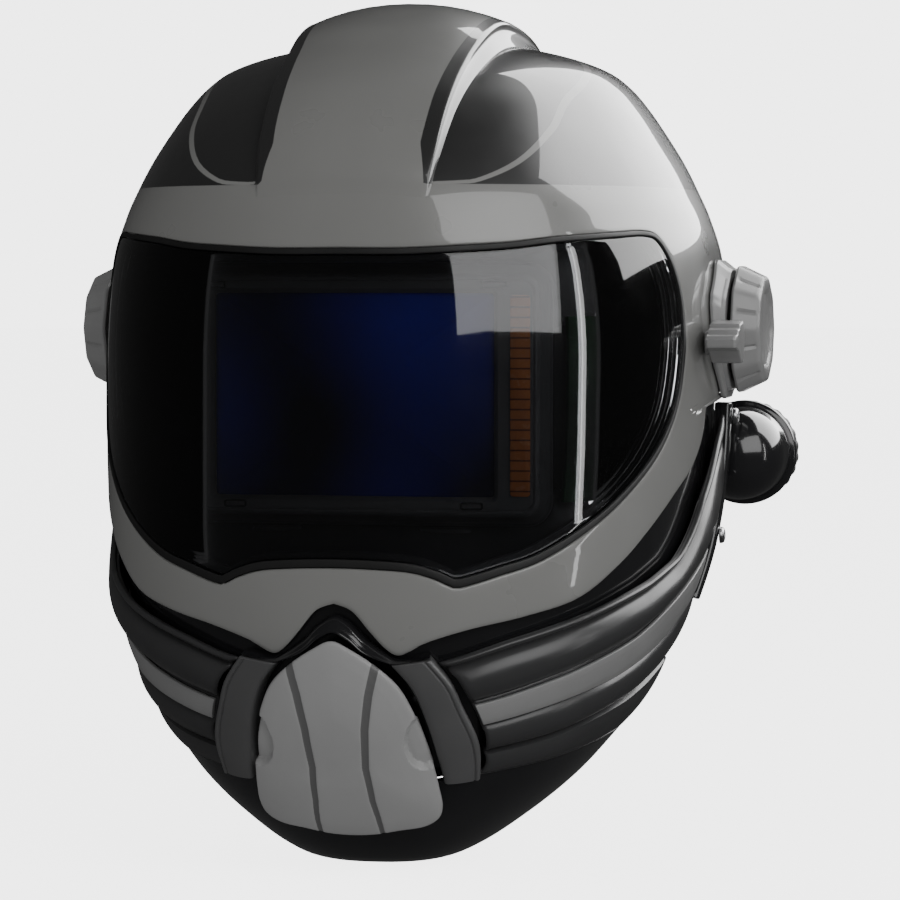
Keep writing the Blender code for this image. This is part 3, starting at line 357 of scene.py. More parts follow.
def glassy(name, tint, body, body_share, rough=0.02, mirror=1.5):
    """Thin tinted sheet: clear tint and dark body behind a Fresnel mirror."""
    m, nt, b = nodes_of(name)
    clear = nt.nodes.new("ShaderNodeBsdfTransparent")
    streak = ranged(nt, noise(nt, 9.0, 2.0), 0.3, 0.7, 0, 1)
    link(nt, mixed(nt, streak, scaled(tint, 0.94), scaled(tint, 1.0)), clear.inputs[0])
    grainy(nt, b, body, 0.12, tint=0.1, bump=0)
    inner = nt.nodes.new("ShaderNodeMixShader")
    inner.inputs[0].default_value = body_share
    link(nt, clear.outputs[0], inner.inputs[1])
    link(nt, b.outputs[0], inner.inputs[2])
    gloss = nt.nodes.new("ShaderNodeBsdfGlossy")
    gloss.inputs["Roughness"].default_value = rough
    gloss.inputs["Color"].default_value = (1, 1, 1, 1)
    fres = nt.nodes.new("ShaderNodeFresnel")
    fres.inputs["IOR"].default_value = mirror
    outer = nt.nodes.new("ShaderNodeMixShader")
    link(nt, fres.outputs[0], outer.inputs[0])
    link(nt, inner.outputs[0], outer.inputs[1])
    link(nt, gloss.outputs[0], outer.inputs[2])
    link(nt, outer.outputs[0], nt.nodes["Material Output"].inputs["Surface"])
    return m


def solar_material():
    """Amorphous cell: brown film with fine dark scribe lines across it."""
    m, nt, b = nodes_of("look_solar")
    w = nt.nodes.new("ShaderNodeTexWave")
    w.bands_direction = "Z"
    w.inputs["Scale"].default_value = 90.0
    link(nt, place(nt), w.inputs["Vector"])
    film = mixed(nt, noise(nt, 60, 3.0), (0.36, 0.115, 0.03), (0.5, 0.18, 0.05))
    link(nt, mixed(nt, ranged(nt, w.outputs["Fac"], 0.9, 0.98, 0, 1), film, (0.1, 0.03, 0.012)),
        b.inputs["Base Color"])
    link(nt, ranged(nt, noise(nt, 200), 0.3, 0.7, 0.16, 0.3), b.inputs["Roughness"])
    b.inputs["Coat Weight"].default_value = 1.0
    return m


def filter_material(name, deep, bright, scale):
    """Dark filter glass: its colour shifts slowly over the pane."""
    m, nt, b = nodes_of(name)
    link(nt, mixed(nt, ranged(nt, noise(nt, scale, 1.0), 0.35, 0.65, 0, 1), deep, bright),
        b.inputs["Base Color"])
    link(nt, ranged(nt, noise(nt, 40), 0.3, 0.7, 0.3, 0.4), b.inputs["Roughness"])
    b.inputs["Specular IOR Level"].default_value = 0.15
    return m


def woven(name, colour, pitch=1100.0):
    """Padded textile: a fine two-way weave with sheen."""
    m, nt, b = nodes_of(name)
    waves = []
    for way in ("X", "Z"):
        w = nt.nodes.new("ShaderNodeTexWave")
        w.bands_direction = way
        w.inputs["Scale"].default_value = pitch / 6.3
        w.inputs["Distortion"].default_value = 0.6
        link(nt, place(nt), w.inputs["Vector"])
        waves.append(w.outputs["Fac"])
    weave = both(nt, waves[0], waves[1], "MAXIMUM")
    cloud = mixed(nt, noise(nt, 60, 5.0), scaled(colour, 0.75), scaled(colour, 1.3))
    link(nt, mixed(nt, ranged(nt, weave, 0.2, 0.9, 0, 1), scaled(colour, 0.45), cloud),
        b.inputs["Base Color"])
    link(nt, ranged(nt, noise(nt, 90), 0.3, 0.7, 0.8, 0.95), b.inputs["Roughness"])
    b.inputs["Sheen Weight"].default_value = 0.4
    k = nt.nodes.new("ShaderNodeBump")
    k.inputs["Strength"].default_value = 0.7
    k.inputs["Distance"].default_value = 0.0004
    link(nt, weave, k.inputs["Height"])
    link(nt, k.outputs["Normal"], b.inputs["Normal"])
    return m


def brushed():
    m, nt, b = nodes_of("look_steel")
    fine = noise(nt, 1500, 2.0)
    link(nt, mixed(nt, fine, (0.42, 0.42, 0.43), (0.6, 0.6, 0.61)), b.inputs["Base Color"])
    link(nt, ranged(nt, fine, 0.3, 0.7, 0.22, 0.4), b.inputs["Roughness"])
    b.inputs["Metallic"].default_value = 1.0
    return m


LOOK = {
    "shell_gray": painted_shell("look_shell_paint"),
    "ridge_gray": painted_shell("look_ridge_paint"),
    "gloss_black": plastic("look_gloss_black", (0.012, 0.012, 0.013), 0.16, coat=0.8, tint=0.2, bump=0.015,
        spread=0.04),
    "jaw_gray": plastic("look_jaw_gray", (0.036, 0.036, 0.037), 0.34, coat=0.25, coat_rough=0.2, bump=0.08),
    "stripe_gray": plastic("look_stripe_gray", (0.2, 0.2, 0.2), 0.4, bump=0.08),
    "bracket_gray": plastic("look_bracket_gray", (0.075, 0.075, 0.076), 0.42, bump=0.1),
    "knob_gray": plastic("look_knob_gray", (0.235, 0.235, 0.235), 0.36, coat=0.2, coat_rough=0.2, bump=0.1),
    "rubber_black": plastic("look_rubber", (0.014, 0.014, 0.014), 0.55, tint=0.2, bump=0.2, grain=1500),
    "matte_black": plastic("look_matte_black", (0.022, 0.022, 0.023), 0.5, tint=0.12, bump=0.25, grain=1300),
    "bezel": plastic("look_bezel", (0.075, 0.075, 0.077), 0.4, tint=0.1, bump=0.15, grain=1300),
    "band_plastic": plastic("look_band_plastic", (0.03, 0.03, 0.033), 0.45, tint=0.12, bump=0.22, grain=1100),
    "visor_smoke": glassy("look_visor", (0.82, 0.825, 0.84), (0.004, 0.004, 0.005), 0.12, mirror=1.55),
    "clear_lens": glassy("look_clear", (0.93, 0.95, 0.96), (0.5, 0.52, 0.54), 0.05),
    "filter_blue": filter_material("look_filter_blue", (0.002, 0.002, 0.02), (0.012, 0.012, 0.42), 9.0),
    "filter_green": filter_material("look_filter_green", (0.002, 0.012, 0.004), (0.008, 0.07, 0.018), 16.0),
    "solar_brown": solar_material(),
    "steel": brushed(),
    "pad_fabric": woven("look_pad", (0.075, 0.077, 0.085)),
}


# ---------------------------------------------------------------- mesh helpers
BODY = {}
for body_name, members in frame["record"]["behaviour"]["bodies"].items():
    for member in members:
        BODY[member] = body_name
SLOT = {s["node"]: s["material_slot"] for s in frame["record"]["subparts"]}


def outward(verts, faces):
    """Turn a closed mesh's faces outward."""
    v = np.asarray(verts, float)
    v = v - v.mean(0)
    vol = 0.0
    for f in faces:
        for i in range(1, len(f) - 1):
            vol += np.dot(v[f[0]], np.cross(v[f[i]], v[f[i + 1]]))
    return faces if vol > 0 else [tuple(reversed(f)) for f in faces]


def add(name, verts, faces, node, smooth=40, look=None, stands_for=True):
    """New piece that rides with a node's body, has its finish and stands for it."""
    me = bpy.data.meshes.new(name)
    me.from_pydata((np.asarray(verts, float) * MM).tolist(), [], faces)
    me.validate()
    me.update()
    ob = bpy.data.objects.new(name, me)
    bpy.context.scene.collection.objects.link(ob)
    me.materials.append(look or LOOK[SLOT[node]])
    me.shade_smooth()
    me.set_sharp_from_angle(angle=math.radians(smooth))
    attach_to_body(ob, BODY[node])
    if stands_for:
        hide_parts(node)
    return ob


def rings(name, loops, node, closed=False, caps=True, **kw):
    """Closed body through loops with the same number of points each."""
    loops = np.asarray(loops, float)
    m, n = loops.shape[:2]
    verts = list(loops.reshape(-1, 3))
    faces = []
    for j in range(m if closed else m - 1):
        a, b = j * n, ((j + 1) % m) * n
        faces += [(a + i, a + (i + 1) % n, b + (i + 1) % n, b + i) for i in range(n)]
    if caps and not closed:
        for j, flip in ((0, True), (m - 1, False)):
            idx = [j * n + i for i in range(n)]
            verts.append(loops[j].mean(0))
            k = len(verts) - 1
            faces += [(k, idx[(i + 1) % n], idx[i]) if flip else (k, idx[i],
                idx[(i + 1) % n]) for i in range(n)]
    return add(name, verts, outward(verts, faces), node, **kw)


def bevelled(ob, width, segments=3, angle=35):
    m = ob.modifiers.new("edges", "BEVEL")
    m.width, m.segments, m.angle_limit = width * MM, segments, math.radians(angle)
    return ob


def slab(name, top, low, node, round_by=0.0, **kw):
    """Closed body between two grids of points of the same shape."""
    top, low = np.asarray(top, float), np.asarray(low, float)
    nu, nv = top.shape[:2]
    verts = np.concatenate([top.reshape(-1, 3), low.reshape(-1, 3)])
    o = nu * nv
    faces = []
    for i in range(nu - 1):
        for j in range(nv - 1):
            q = (i * nv + j, (i + 1) * nv + j, (i + 1) * nv + j + 1, i * nv + j + 1)
            faces.append(q)
            faces.append(tuple(o + k for k in reversed(q)))
    rim = [i * nv for i in range(nu)] + [(nu - 1) * nv + j for j in range(1, nv)]
    rim += [i * nv + nv - 1 for i in range(nu - 2, -1, -1)] + [j for j in range(nv - 2, 0, -1)]
    for a, b in zip(rim, rim[1:] + rim[:1]):
        faces.append((b, a, o + a, o + b))
    ob = add(name, verts, outward(verts, faces), node, **kw)
    return bevelled(ob, round_by) if round_by else ob


def sheet(name, grid, thick, node, middle=None, wrap=False, round_by=0.0, **kw):
    """Wall of even thickness from an outer grid of points, thickened inward."""
    g = np.asarray(grid, float)
    nu, nv = g.shape[:2]
    verts = list(g.reshape(-1, 3))
    faces = []
    for i in range(nu if wrap else nu - 1):
        k = (i + 1) % nu
        faces += [(i * nv + j, k * nv + j, k * nv + j + 1, i * nv + j + 1) for j in range(nv - 1)]
        if middle is not None:
            faces.append((nu * nv, k * nv, i * nv))
    if middle is not None:
        verts.append(np.asarray(middle, float))
    v = np.asarray(verts)
    f4 = np.array([f for f in faces if len(f) == 4])
    nrm = np.cross(v[f4[:, 1]] - v[f4[:, 0]], v[f4[:, 2]] - v[f4[:, 1]])
    if np.sum((v[f4].mean(1) - CORE - (0, 20, -30)) * nrm) < 0:
        faces = [tuple(reversed(f)) for f in faces]
    ob = add(name, verts, faces, node, **kw)
    m = ob.modifiers.new("wall", "SOLIDIFY")
    m.thickness, m.offset = thick * MM, -1
    return bevelled(ob, round_by) if round_by else ob


def lathe(name, profile, axis, centre, node, n=96, closed=False, **kw):
    """Turned body: profile is a list of (distance along the axis, radius)."""
    pts = [tuple(p) for p in profile]
    if not closed:
        pts = [(pts[0][0], 1e-4)] + pts + [(pts[-1][0], 1e-4)]
        pts = [p for i, p in enumerate(pts) if i == 0 or math.dist(p, pts[i - 1]) > 1e-3]
    loops = []
    for d, r in pts:
        row = []
        for i in range(n):
            t = 2 * math.pi * i / n
            c, s = r * math.cos(t), r * math.sin(t)
            p = {"x": (d, c, s), "y": (c, d, s), "z": (c, s, d)}[axis]
            row.append((p[0] + centre[0], p[1] + centre[1], p[2] + centre[2]))
        loops.append(row)
    return rings(name, loops, node, closed=closed, caps=not closed, **kw)


def rounded_profile(profile, r, steps=4, closed=False):
    """Profile with its corners rounded by r."""
    p = [np.array(q, float) for q in profile]
    out = []
    n = len(p)
    for i, q in enumerate(p):
        if not closed and i in (0, n - 1):
            out.append(q)
            continue
        a, b = p[i - 1] - q, p[(i + 1) % n] - q
        la, lb = np.linalg.norm(a), np.linalg.norm(b)
        k = min(r, la * 0.45, lb * 0.45)
        s, e = q + a / la * k, q + b / lb * k
        for t in np.linspace(0, 1, steps + 1):
            out.append((1 - t) ** 2 * s + 2 * t * (1 - t) * q + t * t * e)
    return [tuple(q) for q in out]


def attach(ob, name, values):
    a = ob.data.attributes.new(name, "FLOAT", "POINT")
    a.data.foreach_set("value", np.asarray(values, np.float32))


# ---------------------------------------------------------------- camera, light and floor
YAW, PITCH, DISTANCE, LENS = math.radians(13), math.radians(2.5), 1500.0, 162.0
RIGHT = Vector((math.cos(YAW), math.sin(YAW), 0))
AHEAD = Vector((-math.sin(YAW) * math.cos(PITCH), math.cos(YAW) * math.cos(PITCH), -math.sin(PITCH)))
UP = RIGHT.cross(AHEAD)
AIM = 8.7 * RIGHT - 45.2 * UP            # point the lens axis passes through
FLOOR_Z, FLOOR_RADIUS, FLOOR_GLOW = -0.1885, 14.0, 3.7     # metres; the glow keeps the floor pale
SKY_DIFFUSE, SKY_MIRRORED, SKY_SEEN = 0.42, 0.04, 4.2      # what lights, is mirrored in and stands behind it


def camera():
    cam = bpy.data.objects.new("camera", bpy.data.cameras.new("camera"))
    bpy.context.scene.collection.objects.link(cam)
    m = Matrix((RIGHT, UP, -AHEAD)).transposed().to_4x4()
    m.translation = (AIM - DISTANCE * AHEAD) * MM
    cam.matrix_world = m
    cam.data.lens, cam.data.sensor_width = LENS, 36.0
    cam.data.clip_start, cam.data.clip_end = 0.05, 60.0
    bpy.context.scene.camera = cam


def softbox(name, at_point, aim, size, power):
    li = bpy.data.lights.new(name, "AREA")
    li.shape, li.size, li.size_y, li.energy = "RECTANGLE", size[0], size[1], power
    ob = bpy.data.objects.new(name, li)
    bpy.context.scene.collection.objects.link(ob)
    p, q = Vector(at_point), Vector(aim)
    ob.matrix_world = Matrix.Translation(p) @ (q - p).to_track_quat("-Z", "Y").to_matrix().to_4x4()
    return ob


def studio():
    floor = bpy.data.meshes.new("floor")
    h, r, n = FLOOR_Z, FLOOR_RADIUS, 64
    ring = [(r * math.cos(2 * math.pi * i / n), r * math.sin(2 * math.pi * i / n), h) for i in range(n)]
    floor.from_pydata(ring, [], [tuple(range(n))])
    ob = bpy.data.objects.new("floor", floor)
    bpy.context.scene.collection.objects.link(ob)
    m, nt, b = nodes_of("look_floor")
    link(nt, mixed(nt, noise(nt, 0.8, 2.0), (0.9, 0.9, 0.9), (0.93, 0.93, 0.93)), b.inputs["Base Color"])
    b.inputs["Roughness"].default_value = 0.9
    b.inputs["Specular IOR Level"].default_value = 0.0
    b.inputs["Emission Color"].default_value = (1, 1, 1, 1)
    b.inputs["Emission Strength"].default_value = FLOOR_GLOW
    floor.materials.append(m)
    ob.visible_glossy = False
    ob.visible_diffuse = False
    world = bpy.data.worlds.new("studio")
    bpy.context.scene.world = world
    world.use_nodes = True
    nt = world.node_tree
    back = nt.nodes["Background"]
    path = nt.nodes.new("ShaderNodeLightPath")
    sky = nt.nodes.new("ShaderNodeMix")
    sky.data_type = "RGBA"
    sky.inputs[6].default_value = (SKY_DIFFUSE, SKY_DIFFUSE, SKY_DIFFUSE, 1)
    sky.inputs[7].default_value = (SKY_MIRRORED, SKY_MIRRORED, SKY_MIRRORED, 1)
    link(nt, path.outputs["Is Glossy Ray"], sky.inputs[0])
    seen_sky = nt.nodes.new("ShaderNodeMix")
    seen_sky.data_type = "RGBA"
    seen_sky.inputs[7].default_value = (SKY_SEEN, SKY_SEEN, SKY_SEEN, 1)
    link(nt, path.outputs["Is Camera Ray"], seen_sky.inputs[0])
    link(nt, sky.outputs[2], seen_sky.inputs[6])
    link(nt, seen_sky.outputs[2], back.inputs[0])
    back.inputs[1].default_value = 1.0
    softbox("key", (1.2, -1.15, 0.72), (0.0, -0.05, 0.0), (1.6, 1.25), 16)
    softbox("rim", (1.11, 1.11, 1.08), (0.05, 0.0, 0.04), (2.5, 1.7), 85).visible_diffuse = False
    softbox("left", (-1.6, -0.1, 0.3), (0, 0, -0.05), (0.1, 1.1), 0.8).visible_glossy = False
    softbox("right", (1.75, -0.32, 0.1), (0, 0, -0.05), (0.07, 1.0), 1.6)
    softbox("low", (0.3, -1.9, -0.12), (0, 0, -0.1), (1.6, 0.12), 1.2).visible_glossy = False


camera()
studio()


# ---------------------------------------------------------------- shield: shell and crown
MIDDLE = np.array([0.0, -20.0])
AROUND = np.linspace(-math.pi, math.pi, 1441)
VISOR_DENSE = resample(to_chart(resample(mirror_loop(VISOR_HALF), 1200, closed=True)), 2400, closed=True)
half_edge = to_chart(resample(EDGE_HALF, 1200))
EDGE_DENSE = resample(np.vstack([half_edge, (half_edge * (-1, 1))[::-1][1:-1]]), 2400, closed=True)


def share(loop):
    d = np.sort(np.arctan2(loop[:, 1] - MIDDLE[1], loop[:, 0] - MIDDLE[0]))
    return np.searchsorted(d, AROUND) / len(d)


def outlines(n):
    """Matching points of the visor opening and the free edge in n shared directions."""
    notch = np.clip((AROUND + math.pi / 2) / math.radians(36) + 0.5, 0, 1)
    total = 0.55 * share(VISOR_DENSE) + 0.3 * share(EDGE_DENSE) + 0.15 * notch
    mix = np.interp((np.arange(n) + 0.5) / n, total, AROUND)
    unit = np.stack([np.cos(mix), np.sin(mix)], -1) + MIDDLE
    return ray_match(unit, VISOR_DENSE, MIDDLE), ray_match(unit, EDGE_DENSE, MIDDLE)


HOLE, OUTER = outlines(432)


def signed_to_line(uv, line):
    """Distance in the chart from points to a polyline, positive on its outer side."""
    best = np.full(uv.shape[0], 1e9)
    sign = np.ones(uv.shape[0])
    along = np.zeros(uv.shape[0])
    for i in range(len(line) - 1):
        a, b = line[i], line[i + 1]
        ab = b - a
        t = np.clip(((uv - a) @ ab) / (ab @ ab), 0, 1)
        d = uv - a - t[:, None] * ab
        r = np.hypot(d[:, 0], d[:, 1])
        hit = r < best
        best = np.where(hit, r, best)
        cr = ab[0] * d[:, 1] - ab[1] * d[:, 0]
        sign = np.where(hit, np.where(cr < 0, 1.0, -1.0), sign)
        along = np.where(hit, (i + t) / (len(line) - 1), along)
    return best * sign, along


def shell():
    hole, outer = HOLE, OUTER
    rows = [(grow(hole, 0.35), -1.9), (grow(hole, 0.0), -1.2), (grow(hole, 0.0), -0.5),
        (grow(hole, 0.25), -0.12), (grow(hole, 0.7), 0.0), (grow(hole, 1.6), 0.0)]
    a, b = grow(hole, 3.2), grow(outer, -1.6)
    n_rows = 52
    for i in range(n_rows):
        k = i / (n_rows - 1)
        rows.append((a * (1 - k) + b * k, 0.0))
    rows += [(grow(outer, -0.8), 0.0), (grow(outer, -0.3), -0.12), (outer, -0.5), (outer, -1.7),
        (grow(outer, -0.3), -2.3), (grow(outer, -0.9), -2.5)]
    for i in range(18):
        k = i / 17
        rows.append((grow(outer, -2.4) * (1 - k) + grow(hole, 2.0) * k, -2.5))
    rows.append((grow(hole, 0.9), -2.35))
    uv = np.stack([r for r, o in rows], 1)
    off = np.broadcast_to(np.array([o for r, o in rows])[None, :], uv.shape[:2])
    pts = chart(uv[..., 0], uv[..., 1], off)
    ob = rings("shell_skin", pts, "shield_shell", closed=True, smooth=32)
    flat = pts.reshape(-1, 3)
    line = to_chart(resample(PINSTRIPE, 240))
    chart_at = uv.reshape(-1, 2)
    off_line, along = signed_to_line(np.stack([np.abs(chart_at[:, 0]), chart_at[:, 1]], -1), line)
    half = 0.5 + 1.4 * np.clip(along * 2.2, 0, 1)
    attach(ob, "line_off", off_line * 1.15)
    attach(ob, "line_half", np.where(flat[:, 2] > 45, half, -5.0))
    attach(ob, "dark", flat[:, 2] - PAINT_Z)
    bore(ob, PIVOT_HOLE_R)
    return ob


def bore(ob, radius):
    """Round holes for the pivot posts through both sides."""
    me = bpy.data.meshes.new("pivot_cutter")
    bm = bmesh.new()
    bmesh.ops.create_cone(bm, cap_ends=True, segments=64, radius1=radius * MM, radius2=radius * MM,
        depth=0.26)
    bmesh.ops.rotate(bm, verts=bm.verts, matrix=Matrix.Rotation(math.pi / 2, 3, "Y"))
    bm.to_mesh(me)
    bm.free()
    cutter = bpy.data.objects.new("pivot_cutter", me)
    bpy.context.scene.collection.objects.link(cutter)
    m = ob.modifiers.new("pivot_holes", "BOOLEAN")
    m.operation, m.solver, m.object = "DIFFERENCE", "EXACT", cutter
    applied(ob)
    bpy.data.objects.remove(cutter, do_unlink=True)


def applied(ob):
    """Bake the modifiers into the mesh, keeping its attributes and slots."""
    dg = bpy.context.evaluated_depsgraph_get()
    me = bpy.data.meshes.new_from_object(ob.evaluated_get(dg), preserve_all_data_layers=True, depsgraph=dg)
    old = ob.data
    ob.modifiers.clear()
    ob.data = me
    bpy.data.meshes.remove(old)


# crown plateau: y and z of the middle line, half width, height at the edge, further rise to the middle
RIDGE = [(-129.6, 44, 30, -0.35, 0), (-128, 49.5, 31.5, 0.25, 0), (-127, 53.5, 32, 1.2, 0.3),
    (-122, 60, 32.5, 2.3, 0.4), (-101, 78.5, 34, 4.6, 1.2), (-74, 92, 35.5, 6.5, 2.4),
    (-40, 102.5, 37.5, 8.6, 4.4), (-25, 104.4, 38, 8.6, 4.4), (-8, 105.3, 38.5, 7.6, 3.6),
    (20, 103, 38, 6.0, 2.4), (42, 99.5, 36.5, 4.5, 1.5)]


def plateau_section(hw, h, rise):
    """Half cross-section from the foot to the middle: (x, height)."""
    hh = max(h, 0.0)
    run = min(0.8 + 0.26 * hh, 3.8)
    r = min(0.45 * hh, 1.3)
    pts = [(hw + 0.6 * r + 0.2, -0.5), (hw + 0.5 * r, min(0.05, h - 0.1) if h < 0.5 else 0.08)]
    foot, lip = np.array([hw, 0.12 * hh]), np.array([hw - run, h])
    for t in np.linspace(0.06, 0.8, 6):
        q = foot * (1 - t) + lip * t
        pts.append((q[0] - 0.12 * hh * math.sin(math.pi * t), q[1]))
    for t in np.linspace(0, 1, 5):
        a = foot * 0.14 + lip * 0.86
        c = lip + np.array([-max(r, 0.3), 0.02])
        q = (1 - t) ** 2 * a + 2 * t * (1 - t) * lip + t * t * c
        pts.append((q[0], q[1]))
    for f in (0.93, 0.88, 0.83, 0.78, 0.6, 0.4, 0.2, 0.0):
        pts.append(((hw - run - max(r, 0.3)) * f, h + rise * (1 - f * f)))
    return pts


def crown():
    st = resample(RIDGE, 120)
    loops, dist = [], []
    for i, (y, z, hw, h, rise) in enumerate(st):
        end = np.clip((len(st) - 1 - i) / 3.0, 0, 1)
        h = h * (0.35 + 0.65 * math.sqrt(1 - (1 - end) ** 2)) if h > 0 else h
        half = plateau_section(hw, h, rise)
        xs = [(x, o) for x, o in half] + [(-x, o) for x, o in reversed(half[:-1])]
        xs += [(-hw * 0.5, -0.5), (0, -0.5), (hw * 0.5, -0.5)]
        uv = seen(np.array([(x, y, z) for x, o in xs]))
        loops.append(chart(uv[:, 0], uv[:, 1], np.array([o for x, o in xs])))
        # the gray paint of the top stops short of the edge, further in towards the front
        inset = np.interp(y, [-128, -118, -100, -40, 40], [2.6, 7.0, 7.6, 7.4, 6.8])
        dist.append([abs(x) - (hw - inset) if z > PAINT_Z else -3.0 for x, o in xs])
    loops = np.asarray(loops)
    ob = rings("crown_panel", loops, "crown_ridge", smooth=28)
    d = np.asarray(dist, float).reshape(-1)
    z = loops.reshape(-1, 3)[:, 2]
    d = np.minimum(d, (z - PAINT_Z))
    d = np.concatenate([d, [-3.0, -3.0]])
    attach(ob, "dark", d)
    attach(ob, "line_off", np.zeros(len(d)))
    attach(ob, "line_half", np.full(len(d), -5.0))
    return ob


shell()
crown()


# ---------------------------------------------------------------- shield: visor, gasket and frame
def visor_sheet(name, hole, d, off, thick, node, rows, round_by=0.35):
    k = np.linspace(0, 1, rows)[1:][None, :, None]
    rim = grow(hole, d - 3.0)
    g = MIDDLE * (1 - k) + rim[:, None, :] * k
    g = np.concatenate([g, grow(hole, d - 1.2)[:, None, :], grow(hole, d)[:, None, :]], 1)
    mid = chart(MIDDLE[0:1], MIDDLE[1:2], off)[0]
    return sheet(name, chart(g[..., 0], g[..., 1], off), thick, node, middle=mid, wrap=True,
        round_by=round_by)


def ring_strip(name, hole, d0, d1, off, thick, node, rows=3, round_by=0.3):
    k = np.linspace(0, 1, rows)[None, :, None]
    g = grow(hole, d0)[:, None, :] * (1 - k) + grow(hole, d1)[:, None, :] * k
    return sheet(name, chart(g[..., 0], g[..., 1], off), thick, node, wrap=True, round_by=round_by)


EVEN = resample(VISOR_DENSE, 300, closed=True)
visor_sheet("visor_lens", EVEN, -1.9, -0.35, 1.9, "visor", 34)
ring_strip("visor_gasket", EVEN, -1.75, -0.15, 0.25, 2.4, "visor_seal", round_by=0.35)
ring_strip("visor_carrier", EVEN, -3.4, 3.5, -SHELL - 2.6, 1.6, "visor_frame", rows=5, round_by=0.4)


# ---------------------------------------------------------------- shield: filter cartridge
def rounded(hx, hz, r, y, cz=0.0, n=64, cx=0.0):
    """Rounded rectangle in the XZ plane."""
    lp = []
    q4 = n // 4
    for i in range(n):
        q = i // q4
        a = (i - q * q4) / (q4 - 1) * math.pi / 2 + q * math.pi / 2
        sx, sz = (1, -1, -1, 1)[q], (1, 1, -1, -1)[q]
        lp.append((cx + sx * (hx - r) + r * math.cos(a), y, cz + sz * (hz - r) + r * math.sin(a)))
    return lp


def framed(name, sections, cz, node, soft=0.5, smooth=30, cx=0.0, look=None):
    """Ring body from (half x, half z, corner radius, y) sections, its edges rounded."""
    prof = list(sections)
    out = []
    n = len(prof)
    for i, q in enumerate(prof):
        q = np.array(q)
        p, s = np.array(prof[i - 1]), np.array(prof[(i + 1) % n])
        la, lb = np.linalg.norm((p - q)[[0, 1, 3]]), np.linalg.norm((s - q)[[0, 1, 3]])
        k0, k1 = min(soft / la, 0.45), min(soft / lb, 0.45)
        a, b = q + (p - q) * k0, q + (s - q) * k1
        for t in (0, 0.5, 1):
            out.append((1 - t) ** 2 * a + 2 * t * (1 - t) * q + t * t * b)
    loops = [rounded(a, b, max(r, 0.6), y, cz, cx=cx) for a, b, r, y in out]
    return rings(name, loops, node, closed=True, smooth=smooth, look=look)


def cartridge():
    y = ADF_Y
    framed("filter_bezel_front", [(67.5, 45.5, 9, y + 16), (67.5, 45.5, 9, y + 12.5),
        (67.0, 44.5, 8, y + 11), (65.6, 41.5, 6, y + 1.2), (64.4, 40.3, 5, y), (63.8, 39.7, 4.6, y),
        (63.6, 39.5, 4.6, y + 0.35), (63.3, 39.3, 4.6, y + 0.35), (63.1, 39.1, 4.6, y),
        (LCD[0] + 1.6, LCD[1] + 1.6, 2.4, y), (LCD[0], LCD[1], 1.5, y + 1.4),
        (LCD[0], LCD[1], 1.5, y + 2.4), (56, 38.8, 4, y + 2.6), (57.4, 40.2, 4, y + 16)], ADF_Z,
        "filter_bezel", soft=0.25, look=LOOK["bezel"])
    slab_y("filter_pane", (103, 5.5, 74), (0, y + 5.75, ADF_Z), "filter_glass", 0.7)
    framed("filter_rear_ring", [(55.8, 38.4, 4, y + 9.0), (55.8, 38.4, 4, y + 15.5),
        (51, 36.5, 2, y + 15.5), (51, 36.5, 2, y + 9.0)], ADF_Z, "filter_back", soft=0.5)
    slab_y("inner_cover_pane", (100.6, 1.2, 71.6), (0, y + 14.0, ADF_Z), "inner_cover_plate", 0.4)
    for side, s in SIDES:
        slab_y("solar_strip_" + side, (7.0, 0.6, 2 * LCD[1] - 1.2), (s * 59.0, y - 0.6, ADF_Z),
            "solar_cell_" + side, 0.15)
        drawer(side, s)
    for i, (x, z) in enumerate(((-50, 37.9), (50, 37.9), (-42, -37.9), (42, -37.9))):
        hx = 4.6 if z > 0 else 4.0
        framed("arc_sensor_rim_%d" % (i + 1), [(hx, 1.3, 0.8, y - 0.3), (hx, 1.3, 0.8, y - 0.8),
            (hx - 0.6, 0.75, 0.5, y - 0.8), (hx - 0.6, 0.75, 0.5, y - 0.3)], ADF_Z + z,
            "arc_sensor_%d" % (i + 1), soft=0.12, cx=x)


# outline of the dark panel round the cartridge: it stops at the inner edges of the side windows
PANEL_HALF = [(0, 31), (12, 31), (23, 32), (40, 35), (50, 36), (50, 8), (44, 4), (44, -55), (49.5, -60),
    (49.5, -65), (44.5, -70.5), (37, -79.5), (30, -84), (25, -87), (22, -88), (19, -85.5), (14, -82.8),
    (7, -81.8), (0, -81.5)]


def stepped(points, n):
    """Closed loop of straight lines, divided evenly."""
    loop = np.vstack([points, points[:1]])
    run = np.concatenate([[0], np.cumsum(np.linalg.norm(np.diff(loop, axis=0), axis=1))])
    ask = np.linspace(0, run[-1], n + 1)[:-1]
    return np.stack([np.interp(ask, run, loop[:, i]) for i in range(loop.shape[1])], -1)


